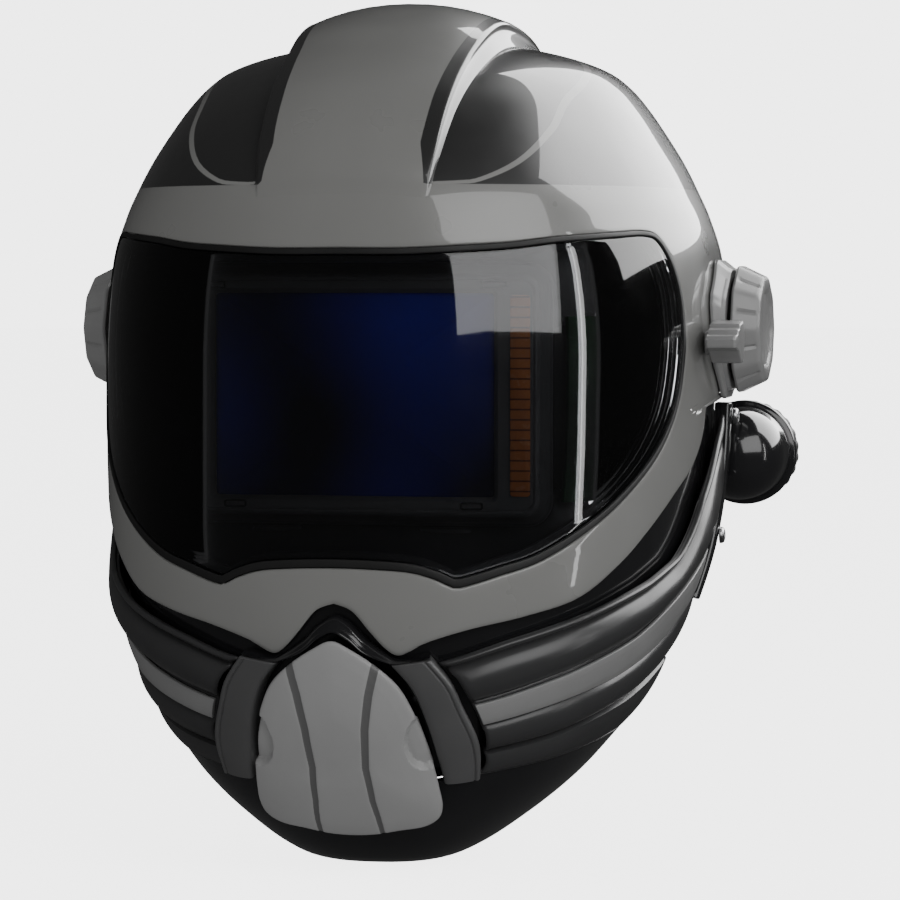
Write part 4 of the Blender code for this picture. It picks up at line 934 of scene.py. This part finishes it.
def carrier_panel():
    """Dark panel from the visor frame back to the filter bezel: closes the gap round the cartridge."""
    half = np.array(PANEL_HALF, float)
    deg, z = stepped(np.vstack([half, (half * (-1, 1))[::-1][1:-1]]), 360).T
    outer = on(z, deg, np.interp(np.abs(deg), [38, 43], [-7.4, -9.7]))
    rim = stepped(np.array(rounded(67.3, 45.3, 9, ADF_Y + 14, ADF_Z)), 720)
    a, r = np.arctan2(rim[:, 2] - ADF_Z, rim[:, 0]), np.hypot(rim[:, 0], rim[:, 2] - ADF_Z)
    order = np.argsort(a)
    turn = np.arctan2(outer[:, 2] - ADF_Z, outer[:, 0])
    reach = np.interp(turn, a[order], r[order], period=2 * math.pi)
    inner = np.stack([reach * np.cos(turn), np.full(len(turn), ADF_Y + 14), ADF_Z + reach * np.sin(turn)],
        -1)
    k = np.linspace(0, 1, 10)[None, :, None]
    grid = outer[:, None, :] * (1 - k) + inner[:, None, :] * k
    sheet("filter_carrier_panel", grid, 1.2, "filter_bezel", wrap=True, round_by=0.3, stands_for=False)


def slab_y(name, size, centre, node, edge):
    """Pane with rounded corners and edges, flat to Y."""
    hx, hy, hz = (q / 2 for q in size)
    loops = []
    for f, inset in ((-1.0, edge), (-1.0 + edge / hy * 0.35, edge * 0.35),
            (-1.0 + min(0.9, edge / hy), 0.0), (1.0 - min(0.9, edge / hy), 0.0),
            (1.0 - edge / hy * 0.35, edge * 0.35), (1.0, edge)):
        loops.append(rounded(hx - inset, hz - inset, max(min(1.2, hz * 0.4) - inset * 0.5, 0.1),
            centre[1] + f * hy, centre[2], 40, centre[0]))
    return rings(name, loops, node, smooth=35)


def drawer(side, s):
    """Front of a battery drawer under the cartridge."""
    x, y, z = s * 30, ADF_Y + 13, ADF_Z - 48.3
    node = "battery_drawer_" + side
    slab_y("battery_tray_" + side, (18, 5, 4.4), (x, y, z), node, 0.6)


cartridge()
carrier_panel()

for side, s in SIDES:
    th, zz = np.meshgrid(np.linspace(42.5, 60, 30), np.linspace(-58, 6, 60), indexing="ij")
    cut_th = np.where(zz < -40, np.minimum(th, 60 - (-40 - zz) * 0.35), th)
    sheet("side_filter_" + side, on(zz, s * cut_th, -7.2), 2.0, "side_window_" + side, round_by=0.5)


# ---------------------------------------------------------------- shield: bosses, knobs and lever
def boss_radius(a):
    """Eight sided flange with a longer front corner, its corners rounded."""
    seg = math.radians(45)
    f = (a + seg / 2) % seg - seg / 2
    flat = 1 / math.cos(f)
    flat = min(flat, 1.062 - 0.12 * (abs(f) - seg / 2 + 0.12) if abs(f) > seg / 2 - 0.1 else flat)
    return 25.0 * flat * (1 + 0.12 * max(0.0, -math.cos(a)) ** 3)


def boss(side, s):
    n = 192
    ang = [2 * math.pi * i / n for i in range(n)]
    rows = [(None, 0.0, 0.0), (None, 0.5, 0.0), (None, 0.98, 0.0), (None, 1.0, 0.35), (None, 1.0, 1.2),
        (None, 0.985, 1.7)]
    rows += [(BOSS_X - 1.5, 0.85, 0), (BOSS_X - 0.6, 0.832, 0), (BOSS_X - 0.12, 0.81, 0),
        (BOSS_X, 0.785, 0), (BOSS_X, 0.6, 0), (BOSS_X, 0.03, 0), (BOSS_X - 0.3, 0.0, 0)]
    loops = []
    for x, k, lift in rows:
        lp = []
        for a in ang:
            r = 6.6 + k * (boss_radius(a) - 6.6)
            y, z = r * math.cos(a), r * math.sin(a)
            lp.append((s * (float(side_x(y, z)) + GAP + lift if x is None else x), y, z))
        loops.append(lp)
    rings("pivot_housing_" + side, loops, "pivot_boss_" + side, closed=True, smooth=25)


def knob(side, s):
    """Ten sided friction knob: bevelled facets, a grip groove along each, and a dished end."""
    k = KNOB
    n_f, per = k["facets"], 12
    n = n_f * per
    depth = k["x1"] - k["x0"]
    stations = [(0.0, -0.9), (0.05, -0.25), (0.09, 0.0)] + [(t, 0.0) for t in np.linspace(0.16, 0.9, 10)]
    stations += [(0.95, -0.2), (0.985, -0.65), (1.0, -1.4)]
    loops = []
    for t, shrink in stations:
        r = k["r0"] + (k["r1"] - k["r0"]) * t + shrink
        lp = []
        for i in range(n):
            a = 2 * math.pi * i / n
            seg = 2 * math.pi / n_f
            f = (a % seg) - seg / 2
            edge = abs(f) / (seg / 2)
            rr = r / math.cos(f) * (1 - 0.011 * max(0, (edge - 0.72) / 0.28) ** 2)
            if abs(edge) < 0.17 and 0.12 < t < 0.93:
                rr -= 0.7 * (1 - (edge / 0.17) ** 2) * min(1, (t - 0.12) / 0.06, (0.93 - t) / 0.06)
            lp.append((s * (k["x0"] + depth * t), rr * math.cos(a), rr * math.sin(a)))
        loops.append(lp)
    last = np.array(loops[-1])
    for shrink, back in ((0.86, 0.0), (0.8, 0.35), (0.74, 0.9), (0.3, 1.1)):
        lp = last.copy()
        lp[:, 1:] *= shrink
        lp[:, 0] -= s * back
        loops.append(lp)
    first = np.array(loops[0])
    inner = []
    bore_r = PIVOT_R + 0.35
    for x_in in (8.4, 0.5, 0.0):
        lp = first.copy()
        d = np.hypot(lp[:, 1], lp[:, 2])
        lp[:, 1:] *= (bore_r / d)[:, None]
        lp[:, 0] = s * (k["x0"] + x_in)
        inner.append(lp)
    rings("friction_knob_" + side, inner + [first * (1, 0.5, 0.5)] + loops, "tension_knob_" + side,
        smooth=26)


LEVER_AXIS = (-35.5, -4.5)


def lever():
    """Latch lever: round hub, and a thumb arm stepped up towards the knob."""
    outline = [(-17.0, 1.4), (-15.6, 2.8), (-11.8, 3.4), (-11.3, 4.8), (-7.4, 5.6), (-6.9, 6.9),
        (-1.6, 7.8), (0.8, 8.0), (2.6, 7.4), (3.3, 5.0), (3.5, 0.0), (3.0, -5.2), (0.5, -7.2), (-3.0, -7.0),
        (-5.4, -5.2), (-9.6, -2.8), (-16.4, -1.4)]
    dense = stepped(np.array(outline), 96)
    start = math.atan2(dense[0, 1], dense[0, 0])
    hub = np.array([(4.4 * math.cos(start - t), 4.4 * math.sin(start - t)) for t in np.linspace(0,
        2 * math.pi, 97)[:-1]])
    loops = []
    mid = dense.mean(0)
    for x, k, src in ((110.6, 0.9, hub), (110.8, 1.0, hub), (112.7, 1.0, hub), (112.9, 0.9, dense),
            (113.2, 0.97, dense), (113.8, 1.0, dense), (118.5, 1.0, dense), (123.0, 1.0, dense),
            (123.7, 0.96, dense), (124.0, 0.88, dense)):
        c = mid if src is dense else np.zeros(2)
        p = c + (src - c) * k
        loops.append([(x, LEVER_AXIS[0] + a, LEVER_AXIS[1] + b) for a, b in p])
    rings("shade_lever", loops, "latch_lever", smooth=24)


for side, s in SIDES:
    boss(side, s)
    knob(side, s)
    x = BOSS_X + 0.1 if s > 0 else -BOSS_X - 1.3
    lathe("friction_washer_" + side, rounded_profile([(0, 19.5), (0.9, 20.2), (1.2, 19.5), (1.2, 6.0),
        (0, 6.0)], 0.25, closed=True), "x", (x, 0, 0), "friction_ring_" + side, closed=True)
lever()


# ---------------------------------------------------------------- respirator base
def bowl_top(deg):
    """Upper rim of the chin bowl: under the lowest rib in front, lower behind the chin."""
    a = np.abs(deg)
    f = np.clip((a - 97) / 45, 0, 1)
    f = f * f * (3 - 2 * f)
    return (at(RIB3_LOW, np.minimum(a, 97)) - 0.2) * (1 - f) + -172.0 * f


def base_frame():
    th = np.linspace(-97, 97, 220)
    zt, zb = at(LIP, th), at(RIB3_LOW, th) + 1.2
    k = np.linspace(0, 1, 40)[None, :]
    zz = zb[:, None] * (1 - k) + zt[:, None] * k
    dd = np.broadcast_to(th[:, None], zz.shape)
    ob = sheet("base_wall", on(zz, dd, -4.2), 2.2, "jaw_frame", round_by=0.0)
    bore(ob, 5.5)
    bevelled(ob, 0.35)


def chin_shell():
    th = np.linspace(-180, 180, 241)[:-1]
    l1, l0 = level(bowl_top(th)), level(-187.6)
    k = np.linspace(0, 1, 44)[None, :] ** 0.9
    ll = l0 * (1 - k) + l1[:, None] * k
    dd = np.broadcast_to(th[:, None], ll.shape)
    sheet("chin_shell", surf(ll, dd, 0.0), 2.2, "chin_bowl", wrap=True, middle=(0, -65.0, -188.0),
        round_by=0.5)


def start_deg(z):
    """Where a duct begins, just outside the chin bracket."""
    b = np.asarray(BRACKET_OUT, float)
    return np.interp(-np.asarray(z), -b[:, 1], b[:, 0]) + 0.9


def duct_rows():
    """Rows across a duct: band number, fraction of the band, height over the surface."""
    rows = []
    for f in np.linspace(0, 0.16, 7):                 # light bead along the top edge
        rows.append((0, f, -0.9 + 2.1 * math.sin(math.pi * f / 0.16) ** 0.6))
    for f in np.linspace(0.2, 1, 20):                 # main rib: a full bulge
        q = (f - 0.2) / 0.8
        rows.append((0, f, -1.1 + 4.5 * math.sin(math.pi * min(1, q * 1.01)) ** 0.62))
    for f in (0.05, 0.5, 0.95):                       # seat of the light stripe
        rows.append((1, f, -0.7))
    for f in np.linspace(0, 1, 12):                   # second rib
        rows.append((2, f, -0.9 + 2.6 * math.sin(math.pi * f) ** 0.55))
    for f in (0.04, 0.1):                             # groove
        rows.append((3, f, -1.7))
    for f in np.linspace(0, 1, 12):                   # lowest rib, with a thin lip under it
        rows.append((3, 0.14 + 0.78 * f, -1.2 + 2.6 * math.sin(math.pi * (0.12 + 0.68 * f)) ** 0.5))
    rows += [(3, 0.95, -0.6), (3, 0.97, 0.55), (3, 0.99, 0.55), (3, 1.0, -0.6)]
    return rows


def duct(side, s):
    lines = (RIB_TOP, STRIPE_TOP, STRIPE_LOW, RIB2_LOW, RIB3_LOW)
    pts, offs = [], []
    n = 70
    for band, f, o in duct_rows():
        z = float(at(lines[band], 20.0) * (1 - f) + at(lines[band + 1], 20.0) * f)
        a = np.linspace(float(start_deg(z)), 93.5, n)
        zz = at(lines[band], a) * (1 - f) + at(lines[band + 1], a) * f
        if band == 0 and f == 0:
            zz = zz - 0.2
        if band == 3 and f == 1.0:
            zz = zz + 0.6
        pts.append(np.stack([zz, s * a], -1))
        fade = 0.55 + 0.45 * np.clip((93.5 - a) / 10, 0, 1)
        tip = np.clip((a - a[0]) / 1.6, 0, 1)
        offs.append(o * fade * (0.72 + 0.28 * np.sqrt(tip * (2 - tip))))
    g, oo = np.asarray(pts), np.asarray(offs)
    sheet("jaw_duct_cover_" + side, on(g[..., 0], g[..., 1], oo), 1.6, "jaw_duct_" + side, smooth=50)
    rows = []
    fs = (0.08, 0.12, 0.3, 0.5, 0.7, 0.88, 0.92)
    for f in fs:
        z = float(at(STRIPE_TOP, 20.0) * (1 - f) + at(STRIPE_LOW, 20.0) * f)
        a = np.linspace(float(start_deg(z)) + 0.25, 92.5, n)
        rows.append(np.stack([at(STRIPE_TOP, a) * (1 - f) + at(STRIPE_LOW, a) * f, s * a], -1))
    g = np.asarray(rows)
    up = np.array([0.75, 1.0, 1.25, 1.35, 1.25, 1.0, 0.75])[:, None]
    fade = 0.55 + 0.45 * np.clip((93.5 - np.abs(g[..., 1])) / 10, 0, 1)
    slab("jaw_inlay_" + side, on(g[..., 0], g[..., 1], up * fade),
        on(g[..., 0], g[..., 1], -0.6 * fade + 0.3), "jaw_stripe_" + side, round_by=0.25, smooth=45)


def bracket(side, s):
    """Chin bracket leg: flat arch with a thin raised bead down its outer edge."""
    a, b = resample(BRACKET_IN, 60), resample(BRACKET_OUT, 60)
    f = np.array([0, 0.03, 0.08, 0.2, 0.4, 0.6, 0.74, 0.79, 0.82, 0.86, 0.92, 0.97, 1.0])[None, :, None]
    g = a[:, None, :] * (1 - f) + b[:, None, :] * f
    up = np.array([3.0, 3.9, 4.4, 4.7, 4.9, 4.9, 4.8, 4.75, 4.2, 4.9, 4.9, 4.3, 3.0])[None, :] + 0 * g[...,
        0]
    slab("chin_arch_" + side, on(g[..., 1], s * g[..., 0], up), on(g[..., 1], s * g[..., 0], -3.4 + 0 * up),
        "chin_bracket_" + side, round_by=0.35, smooth=40)


HOOD_OUT = [(-19, -108.3), (-13, -110.2), (-10.5, -108.6), (-6.5, -103.8), (-3, -98), (0, -95.5), (3, -98),
    (6.5, -103.8), (10.5, -108.6), (13, -110.2), (19, -108.3)]
HOOD_IN = [(-18.5, -109.0), (-13.2, -111.0), (-10.8, -111.2), (-6.0, -108.2), (-3, -104.0), (0, -101.6),
    (3, -104.0), (6.0, -108.2), (10.8, -111.2), (13.2, -111.0), (18.5, -109.0)]


def hood():
    a, b = resample(HOOD_IN, 121), resample(HOOD_OUT, 121)
    f = np.array([0, 0.05, 0.12, 0.22, 0.3, 0.36, 0.45, 0.6, 0.75, 0.88, 1.0])[None, :, None]
    g = a[:, None, :] * (1 - f) + b[:, None, :] * f
    up = np.array([1.6, 2.6, 3.3, 3.55, 3.3, 2.7, 2.3, 1.7, 0.8, -0.4, -1.6])[None, :] + 0 * g[..., 0]
    slab("chin_hood_shell", on(g[..., 1], g[..., 0], up), on(g[..., 1], g[..., 0], -3.6 + 0 * up),
        "chin_hood", round_by=0.2, smooth=50)


CAP_STRIPE = [(8.9, -109), (7.4, -121), (6.6, -132), (6.6, -145), (8.2, -157), (11.5, -170)]


def cap():
    """Chin cover: bulged face, two shallow dark bands and a half-moon finger recess at each side."""
    loop = resample(mirror_loop(CAP_HALF), 260, closed=True)
    mid = np.array([0.0, -142.0])
    rows = np.concatenate([np.linspace(0.03, 0.93, 56), [0.95, 0.965, 0.978, 0.988, 0.995, 1.0]])
    rise = np.interp(rows, [0, 0.35, 0.65, 0.85, 0.95, 0.978, 0.99, 1.0],
        [7.4, 7.2, 6.5, 5.85, 5.3, 5.0, 4.6, 3.9])
    g = mid + (loop - mid)[:, None, :] * rows[None, :, None]
    up = np.broadcast_to(rise[None, :], g.shape[:2]).copy()
    for sx in (-1, 1):
        d = np.hypot((g[..., 0] - sx * 20.8) * 1.75, g[..., 1] + 136.0)
        up -= 2.8 * np.clip((10.0 - d) / 1.0, 0, 1) * np.clip(0.55 + 0.45 * d / 10.0, 0, 1)
    dark = np.full(g.shape[:2], -9.0)
    for sx in (1, -1):
        x = np.interp(-g[..., 1], [-q[1] for q in CAP_STRIPE], [q[0] for q in CAP_STRIPE])
        d = 1.65 - np.abs(g[..., 0] * sx - x) * 1.95
        dark = np.maximum(dark, d)
    up -= 0.28 * np.clip((dark + 0.1) / 0.35, 0, 1)
    pts = on(g[..., 1], g[..., 0], up)
    ob = sheet("chin_cover", pts, 2.0, "chin_cap", middle=on(mid[1], 0.0, 7.4), wrap=True, smooth=38,
        look=cap_look())
    attach(ob, "band", np.concatenate([dark.reshape(-1), [-9.0]]))
    return ob


def seam_backing():
    """Dark inner strip that closes the seam between the jaw frame and the chin bowl."""
    th = np.linspace(-97, 97, 200)
    low = at(RIB3_LOW, np.abs(th))
    grid = np.stack([on(low + dz, th, -7.0) for dz in (5.0, 2.0, -1.0, -4.0)], 1)
    sheet("jaw_seam_strip", grid, 1.0, "jaw_frame", round_by=0.3, stands_for=False)


def cap_look():
    m, nt, b = nodes_of("look_cap_banded")
    c = grainy(nt, b, (0.3, 0.3, 0.3), 0.4, tint=0.04, bump=0.1)
    link(nt, mixed(nt, ranged(nt, attribute(nt, "band"), -0.1, 0.1, 0, 1), c, (0.112, 0.112, 0.112)),
        b.inputs["Base Color"])
    return m


def valve():
    lathe("exhale_seat_ring", rounded_profile([(-3.2, 9.4), (9.6, 9.4), (9.6, 15.5), (7.8, 15.5),
        (7.8, 11.6), (-3.2, 11.6)], 0.4, closed=True), "y", (0, -123.6, -130), "exhale_seat", closed=True)
    lathe("exhale_flap_disc", [(0, 1.4), (0.0, 1.6), (0.05, 8.4), (0.15, 9.0), (0.5, 9.0), (0.5, 0.5)], "y",
        (0, -127.6, -130), "exhale_flap")


def clear_visor():
    th = np.linspace(-60, 60, 120)
    k = np.linspace(0, 1, 50)[None, :]
    zt = 16 + 0 * th
    zb = at([(0, -88), (12, -94), (26, -90), (36, -86), (46, -80), (54, -70), (60, -60)], th)
    zz = zb[:, None] * (1 - k) + zt[:, None] * k
    dd = np.broadcast_to(th[:, None], zz.shape)
    inset = -46.0 + 20.0 * (np.abs(dd) / 60) ** 2
    sheet("clear_inner_visor", on(zz, dd, inset), 1.6, "inner_visor", round_by=0.4)


def inlet():
    ix, iy, iz = INLET
    dome = [(-32, 0.4), (-31.9, 2.2), (-31.5, 4.2), (-30.8, 6.4), (-29.6, 8.7), (-28.0, 11.0), (-26, 13.0),
        (-23.6, 14.7), (-21, 15.9), (-18, 16.8), (-15, 17.2), (-4, 17.5), (-3.0, 17.7), (-2.7, 18.6),
        (-2.2, 19.3), (-1.4, 19.6), (-0.5, 19.6), (0, 19.1), (0, 16.2), (-0.5, 15.8), (-14, 15.2),
        (-20, 13.8), (-24.5, 11.0), (-27.6, 7.0), (-29, 3.4), (-29.4, 0.4)]
    lathe("inlet_dome", dome, "y", (ix, iy, iz), "inlet_elbow", n=128, smooth=35)
    collar = rounded_profile([(0.5, 15.4), (0.5, 18.6), (3.0, 19.2), (9.0, 19.2), (11.0, 18.4),
        (17.0, 17.4), (17.6, 16.6), (17.6, 14.2), (0.5, 13.6)], 0.5, closed=True)
    ob = lathe("hose_swivel_collar", collar, "y", (ix, iy, iz), "hose_collar", n=144, closed=True,
        smooth=35)
    me = ob.data
    for v in me.vertices:                            # grip flutes round the collar
        y = v.co.y / MM - iy
        dx, dz = v.co.x / MM - ix, v.co.z / MM - iz
        r = math.hypot(dx, dz)
        if r > 18.0 and 2.5 < y < 10.5:
            r2 = r - 0.55 * (0.5 + 0.5 * math.cos(24 * math.atan2(dz, dx))) ** 2
            v.co.x, v.co.z = (ix + dx * r2 / r) * MM, (iz + dz * r2 / r) * MM


def strips():
    for side, s in SIDES:
        aa, zz = np.meshgrid(np.linspace(94.4, 100.5, 14), np.linspace(-97, -27, 80), indexing="ij")
        f = (aa - 94.4) / 6.1
        up = 1.2 + 1.2 * np.sin(np.pi * np.clip(f, 0, 1)) ** 0.5
        slab("edge_trim_" + side, on(zz, s * aa, up), on(zz, s * aa, -3.7 + 0 * up), "edge_strip_" + side,
            round_by=0.35, smooth=45)
    for i, z in enumerate((-32.0, -75.0)):
        y = float(on(z, 98.0)[1])
        x = float(side_x(y, z)) + 3.0
        head = [(0, 3.0), (0.6, 3.0), (1.1, 2.85), (1.5, 2.5), (1.75, 1.9), (1.75, 1.5), (0.9, 1.35),
            (0.9, 0.2)]
        lathe("cover_screw_%d" % (i + 1), head, "x", (x, y, z), "inlet_screw_%d" % (i + 1), n=36, smooth=30)


def manifold():
    def section(x0, x1, z0, z1, y, r):
        return rounded((x1 - x0) / 2, (z1 - z0) / 2, r, y, (z0 + z1) / 2, 48, (x0 + x1) / 2)
    rows = [(85.4, 92.2, -58.6, -35.4, 43.6, 2.0), (85.4, 92.2, -58.6, -35.4, -37.6, 2.0),
        (85.0, 92.6, -59.0, -35.0, -38, 2.2), (84.4, 93.2, -59.6, -34.4, -38, 2.6),
        (84, 93.6, -60, -34, -37.6, 3.0), (84, 93.6, -60, -34, 44.4, 3.0),
        (84.6, 93.0, -59.4, -34.6, 45, 2.6)]
    rings("air_manifold", [section(*q) for q in rows], "inlet_manifold", smooth=30)


base_frame()
seam_backing()
chin_shell()
for side, s in SIDES:
    duct(side, s)
    bracket(side, s)
hood()
cap()
valve()
clear_visor()
inlet()
strips()
manifold()


# ---------------------------------------------------------------- soft face seal
def face_seal():
    """Padded textile skirt from the base in to the cheeks and chin, with two sewn lines."""
    th = np.linspace(-94, 94, 190)
    zo = at([(0, -152), (20, -147), (40, -128), (70, -101), (97, -82)], th)
    po = on(zo, th, -8.0)
    pi = np.stack([64 * np.sin(np.radians(th)), -14 - 66 * np.cos(np.radians(th)), zo + 16], -1)
    k = np.linspace(0, 1, 40)[None, :, None]
    g = po[:, None, :] * (1 - k) + pi[:, None, :] * k
    g[..., 2] -= 5 * np.sin(np.pi * k[..., 0])
    kk = k[..., 0] + 0 * g[..., 0]
    gather = 0.35 * np.sin(np.radians(th) * 38)[:, None] * np.sin(np.pi * kk) ** 2
    puff = 1.05 * np.clip(np.sin(np.pi * np.clip(kk / 0.12, 0, 1) * 0.5), 0, 1) * np.clip((1 - kk) / 0.04,
        0.35, 1)
    sewn = 0.75 * (np.exp(-((kk - 0.12) / 0.015) ** 2) + np.exp(-((kk - 0.9) / 0.015) ** 2))
    thick = np.maximum(puff - sewn * 0.9 + gather, 0.25)
    up = np.stack([0 * thick, 0 * thick, thick], -1)
    ob = slab("face_seal_skirt", g + up, g - np.stack([0 * thick, 0 * thick,
        np.maximum(puff - 0.9 * sewn, 0.25)], -1), "face_seal", round_by=0.3, smooth=60)


face_seal()

# ---------------------------------------------------------------- headgear
CY, HA, HB = HEAD["cy"], HEAD["a"], HEAD["b"]


def oval(deg, z, grow_by=0.0):
    t = np.radians(deg)
    return np.stack([(HA + grow_by) * np.sin(t), CY - (HB + grow_by) * np.cos(t), z + 0 * t], -1)


def drop(a):
    """Height of the band's middle line: level at the brow, falling to the nape."""
    a = np.where(a > 180, 360 - a, a)
    return np.interp(a, [0, 60, 95, 180], [34, 30, 12, -36])


def band(name, a0, a1, n, half, thick, node, out=0.0):
    """Flat strap round the head with beaded edges."""
    deg = np.linspace(a0, a1, n)
    zc = drop(np.abs(deg))
    k = np.concatenate([[-1, -0.96, -0.9, -0.84], np.linspace(-0.8, 0.8, 9), [0.84, 0.9, 0.96, 1]])
    bead = np.array([0.55, 0.95, 1.0, 0.8] + [0.62] * 9 + [0.8, 1.0, 0.95, 0.55])
    outer = np.stack([oval(deg, zc + kk * half, out + thick * (b - 0.5)) for kk, b in zip(k, bead)], 1)
    inner = np.stack([oval(deg, zc + kk * half, out - thick * 0.5) for kk in k], 1)
    return slab(name, outer, inner, node, round_by=0.25, smooth=40)


def cushion(name, a0, a1, n, half, thick, node, out, channels):
    """Padded strip inside a band: crowned, with sewn channels across it and a bound edge."""
    deg = np.linspace(a0, a1, n)
    zc = drop(np.abs(deg))
    k = np.linspace(-1, 1, 25)
    f = (deg - a0) / (a1 - a0)
    ends = np.clip(np.minimum(f, 1 - f) / 0.035, 0, 1)
    ends = np.sqrt(ends * (2 - ends))
    chan = np.ones(n)
    for c in np.linspace(0, 1, channels + 2)[1:-1]:
        chan -= 0.55 * np.exp(-((f - c) / 0.006) ** 2)
    crown_k = np.sqrt(np.clip(1 - np.abs(k) ** 3.2, 0, 1))
    full = 0.16 + 0.84 * crown_k[None, :] * (ends * chan)[:, None]
    out_grid, in_grid = [], []
    for j, kk in enumerate(k):
        z = zc + kk * half * (0.985 + 0.015 * ends)
        out_grid.append(oval(deg, z, out + thick * 0.5 * full[:, j] * 0.9))
        in_grid.append(oval(deg, z, out - thick * 0.5 * full[:, j]))
    ob = slab(name, np.stack(out_grid, 1), np.stack(in_grid, 1), node, smooth=60)
    return ob


def arch(name, y, width, base, top, inset, clear, node):
    """Crown strap inside the bands by inset, with beaded edges, clear of a band slid forward by clear."""
    end = math.radians(84)
    t = np.linspace(-end, end, 120)
    up = np.stack([np.sin(t), 0 * t, np.cos(t)], -1)
    z = base + (top - base) * (np.cos(t) - math.cos(end)) / (1 - math.cos(end))
    k = np.concatenate([[-1, -0.95, -0.88, -0.8], np.linspace(-0.7, 0.7, 7), [0.8, 0.88, 0.95, 1]])
    h = np.array([0.3, 0.8, 0.9, 0.55] + [0.35] * 7 + [0.55, 0.9, 0.8, 0.3])
    rows = []
    for r in k * width / 2:
        half = (HA - inset) * math.sqrt(1 - ((y + r + clear - CY) / HB) ** 2)
        rows.append(np.stack([half * np.sin(t) / math.sin(end), y + r + 0 * t, z], -1))
    g = np.stack(rows, 1)
    top_g = g + up[:, None, :] * (0.5 + h)[None, :, None]
    slab(name, top_g, g - up[:, None, :] * 0.9, node, round_by=0.2, smooth=40)


def arm(side, s):
    prof = [(40.0, 81.9, 16.0, 8.0), (28.0, 81.9, 15.0, 8.5), (16.0, 89.0, 9.0, 9.5),
        (8.0, 92.6, 3.0, 10.0), (-6.0, 92.6, 0.0, 10.5), (-10.5, 92.6, 0.0, 6.0)]
    st = resample(prof, 60)
    top, low = [], []
    for y, x, zc, half in st:
        k = np.linspace(-1, 1, 15)
        rib = 1.0 + 0.4 * np.clip((np.abs(k) - 0.72) / 0.12, 0, 1)
        top.append([(s * (x + r), y, zc + half * q) for q, r in zip(k, rib)])
        low.append([(s * (x - 1.4), y, zc + half * q) for q in k])
    slab("headgear_link_" + side, top, low, "headgear_arm_" + side, round_by=0.4, smooth=35)


def post(side, s):
    prof = rounded_profile([(0, 9.0), (2.6, 9.0), (2.6, PIVOT_R), (30.4, PIVOT_R), (30.9, PIVOT_R - 0.5)],
        0.35)
    if s < 0:
        prof = [(-d, r) for d, r in prof]
    lathe("pivot_pin_" + side, prof, "x", (s * 94.4, 0, 0), "pivot_post_" + side, n=64, smooth=35)


def ratchet():
    loops = []
    for y, grow_by, r in ((107.4, -1.6, 5), (107.6, -0.8, 5.5), (108.2, -0.2, 6), (109.0, 0.0, 6),
            (117.0, 0.0, 6), (118.6, -0.5, 6), (119.8, -1.6, 5.5), (120.3, -3.2, 5), (120.4, -5.0, 4)):
        loops.append(rounded(24 + grow_by, 15 + grow_by, r + grow_by * 0.3, y, -36, 72))
    rings("ratchet_case", loops, "ratchet_housing", smooth=30)
    n = 192

    def lobed(r, depth, y):
        row = []
        for i in range(n):
            a = 2 * math.pi * i / n
            c = (0.5 + 0.5 * math.cos(8 * a)) ** 1.6
            row.append(((r - depth * c) * math.sin(a), y, -36 + (r - depth * c) * math.cos(a)))
        return row
    rows = [(15.4, 1.0, 120.8), (16.6, 1.4, 121.1), (17.3, 1.6, 121.8), (17.5, 1.6, 122.6),
        (17.5, 1.6, 129.8), (17.2, 1.6, 131.4), (16.5, 1.4, 132.5), (15.4, 1.1, 133.0), (12.2, 0.3, 133.0),
        (11.4, 0.0, 132.7), (10.8, 0.0, 131.8), (4.0, 0.0, 131.4)]
    rings("ratchet_wheel", [lobed(*q) for q in rows], "ratchet_knob", smooth=35)


band("brow_band", -106, 106, 220, 11, 1.8, "headband_front")
band("nape_band", 95, 265, 180, 9, 1.8, "rear_band", out=-2.4)
cushion("brow_pad", -58, 58, 200, 13.3, 4.8, "sweatband", -3.9, 6)
cushion("nape_cushion", 140, 220, 160, 11.8, 4.8, "nape_pad", -6.4, 3)
for side, s in SIDES:
    arm(side, s)
    post(side, s)
arch("crown_strap_a", 2.0, 20, 18, 84, 2.4, 0.0, "crown_strap_front")
arch("crown_strap_b", 44.0, 18, 4, 78, 5.8, 10.0, "crown_strap_rear")
ratchet()
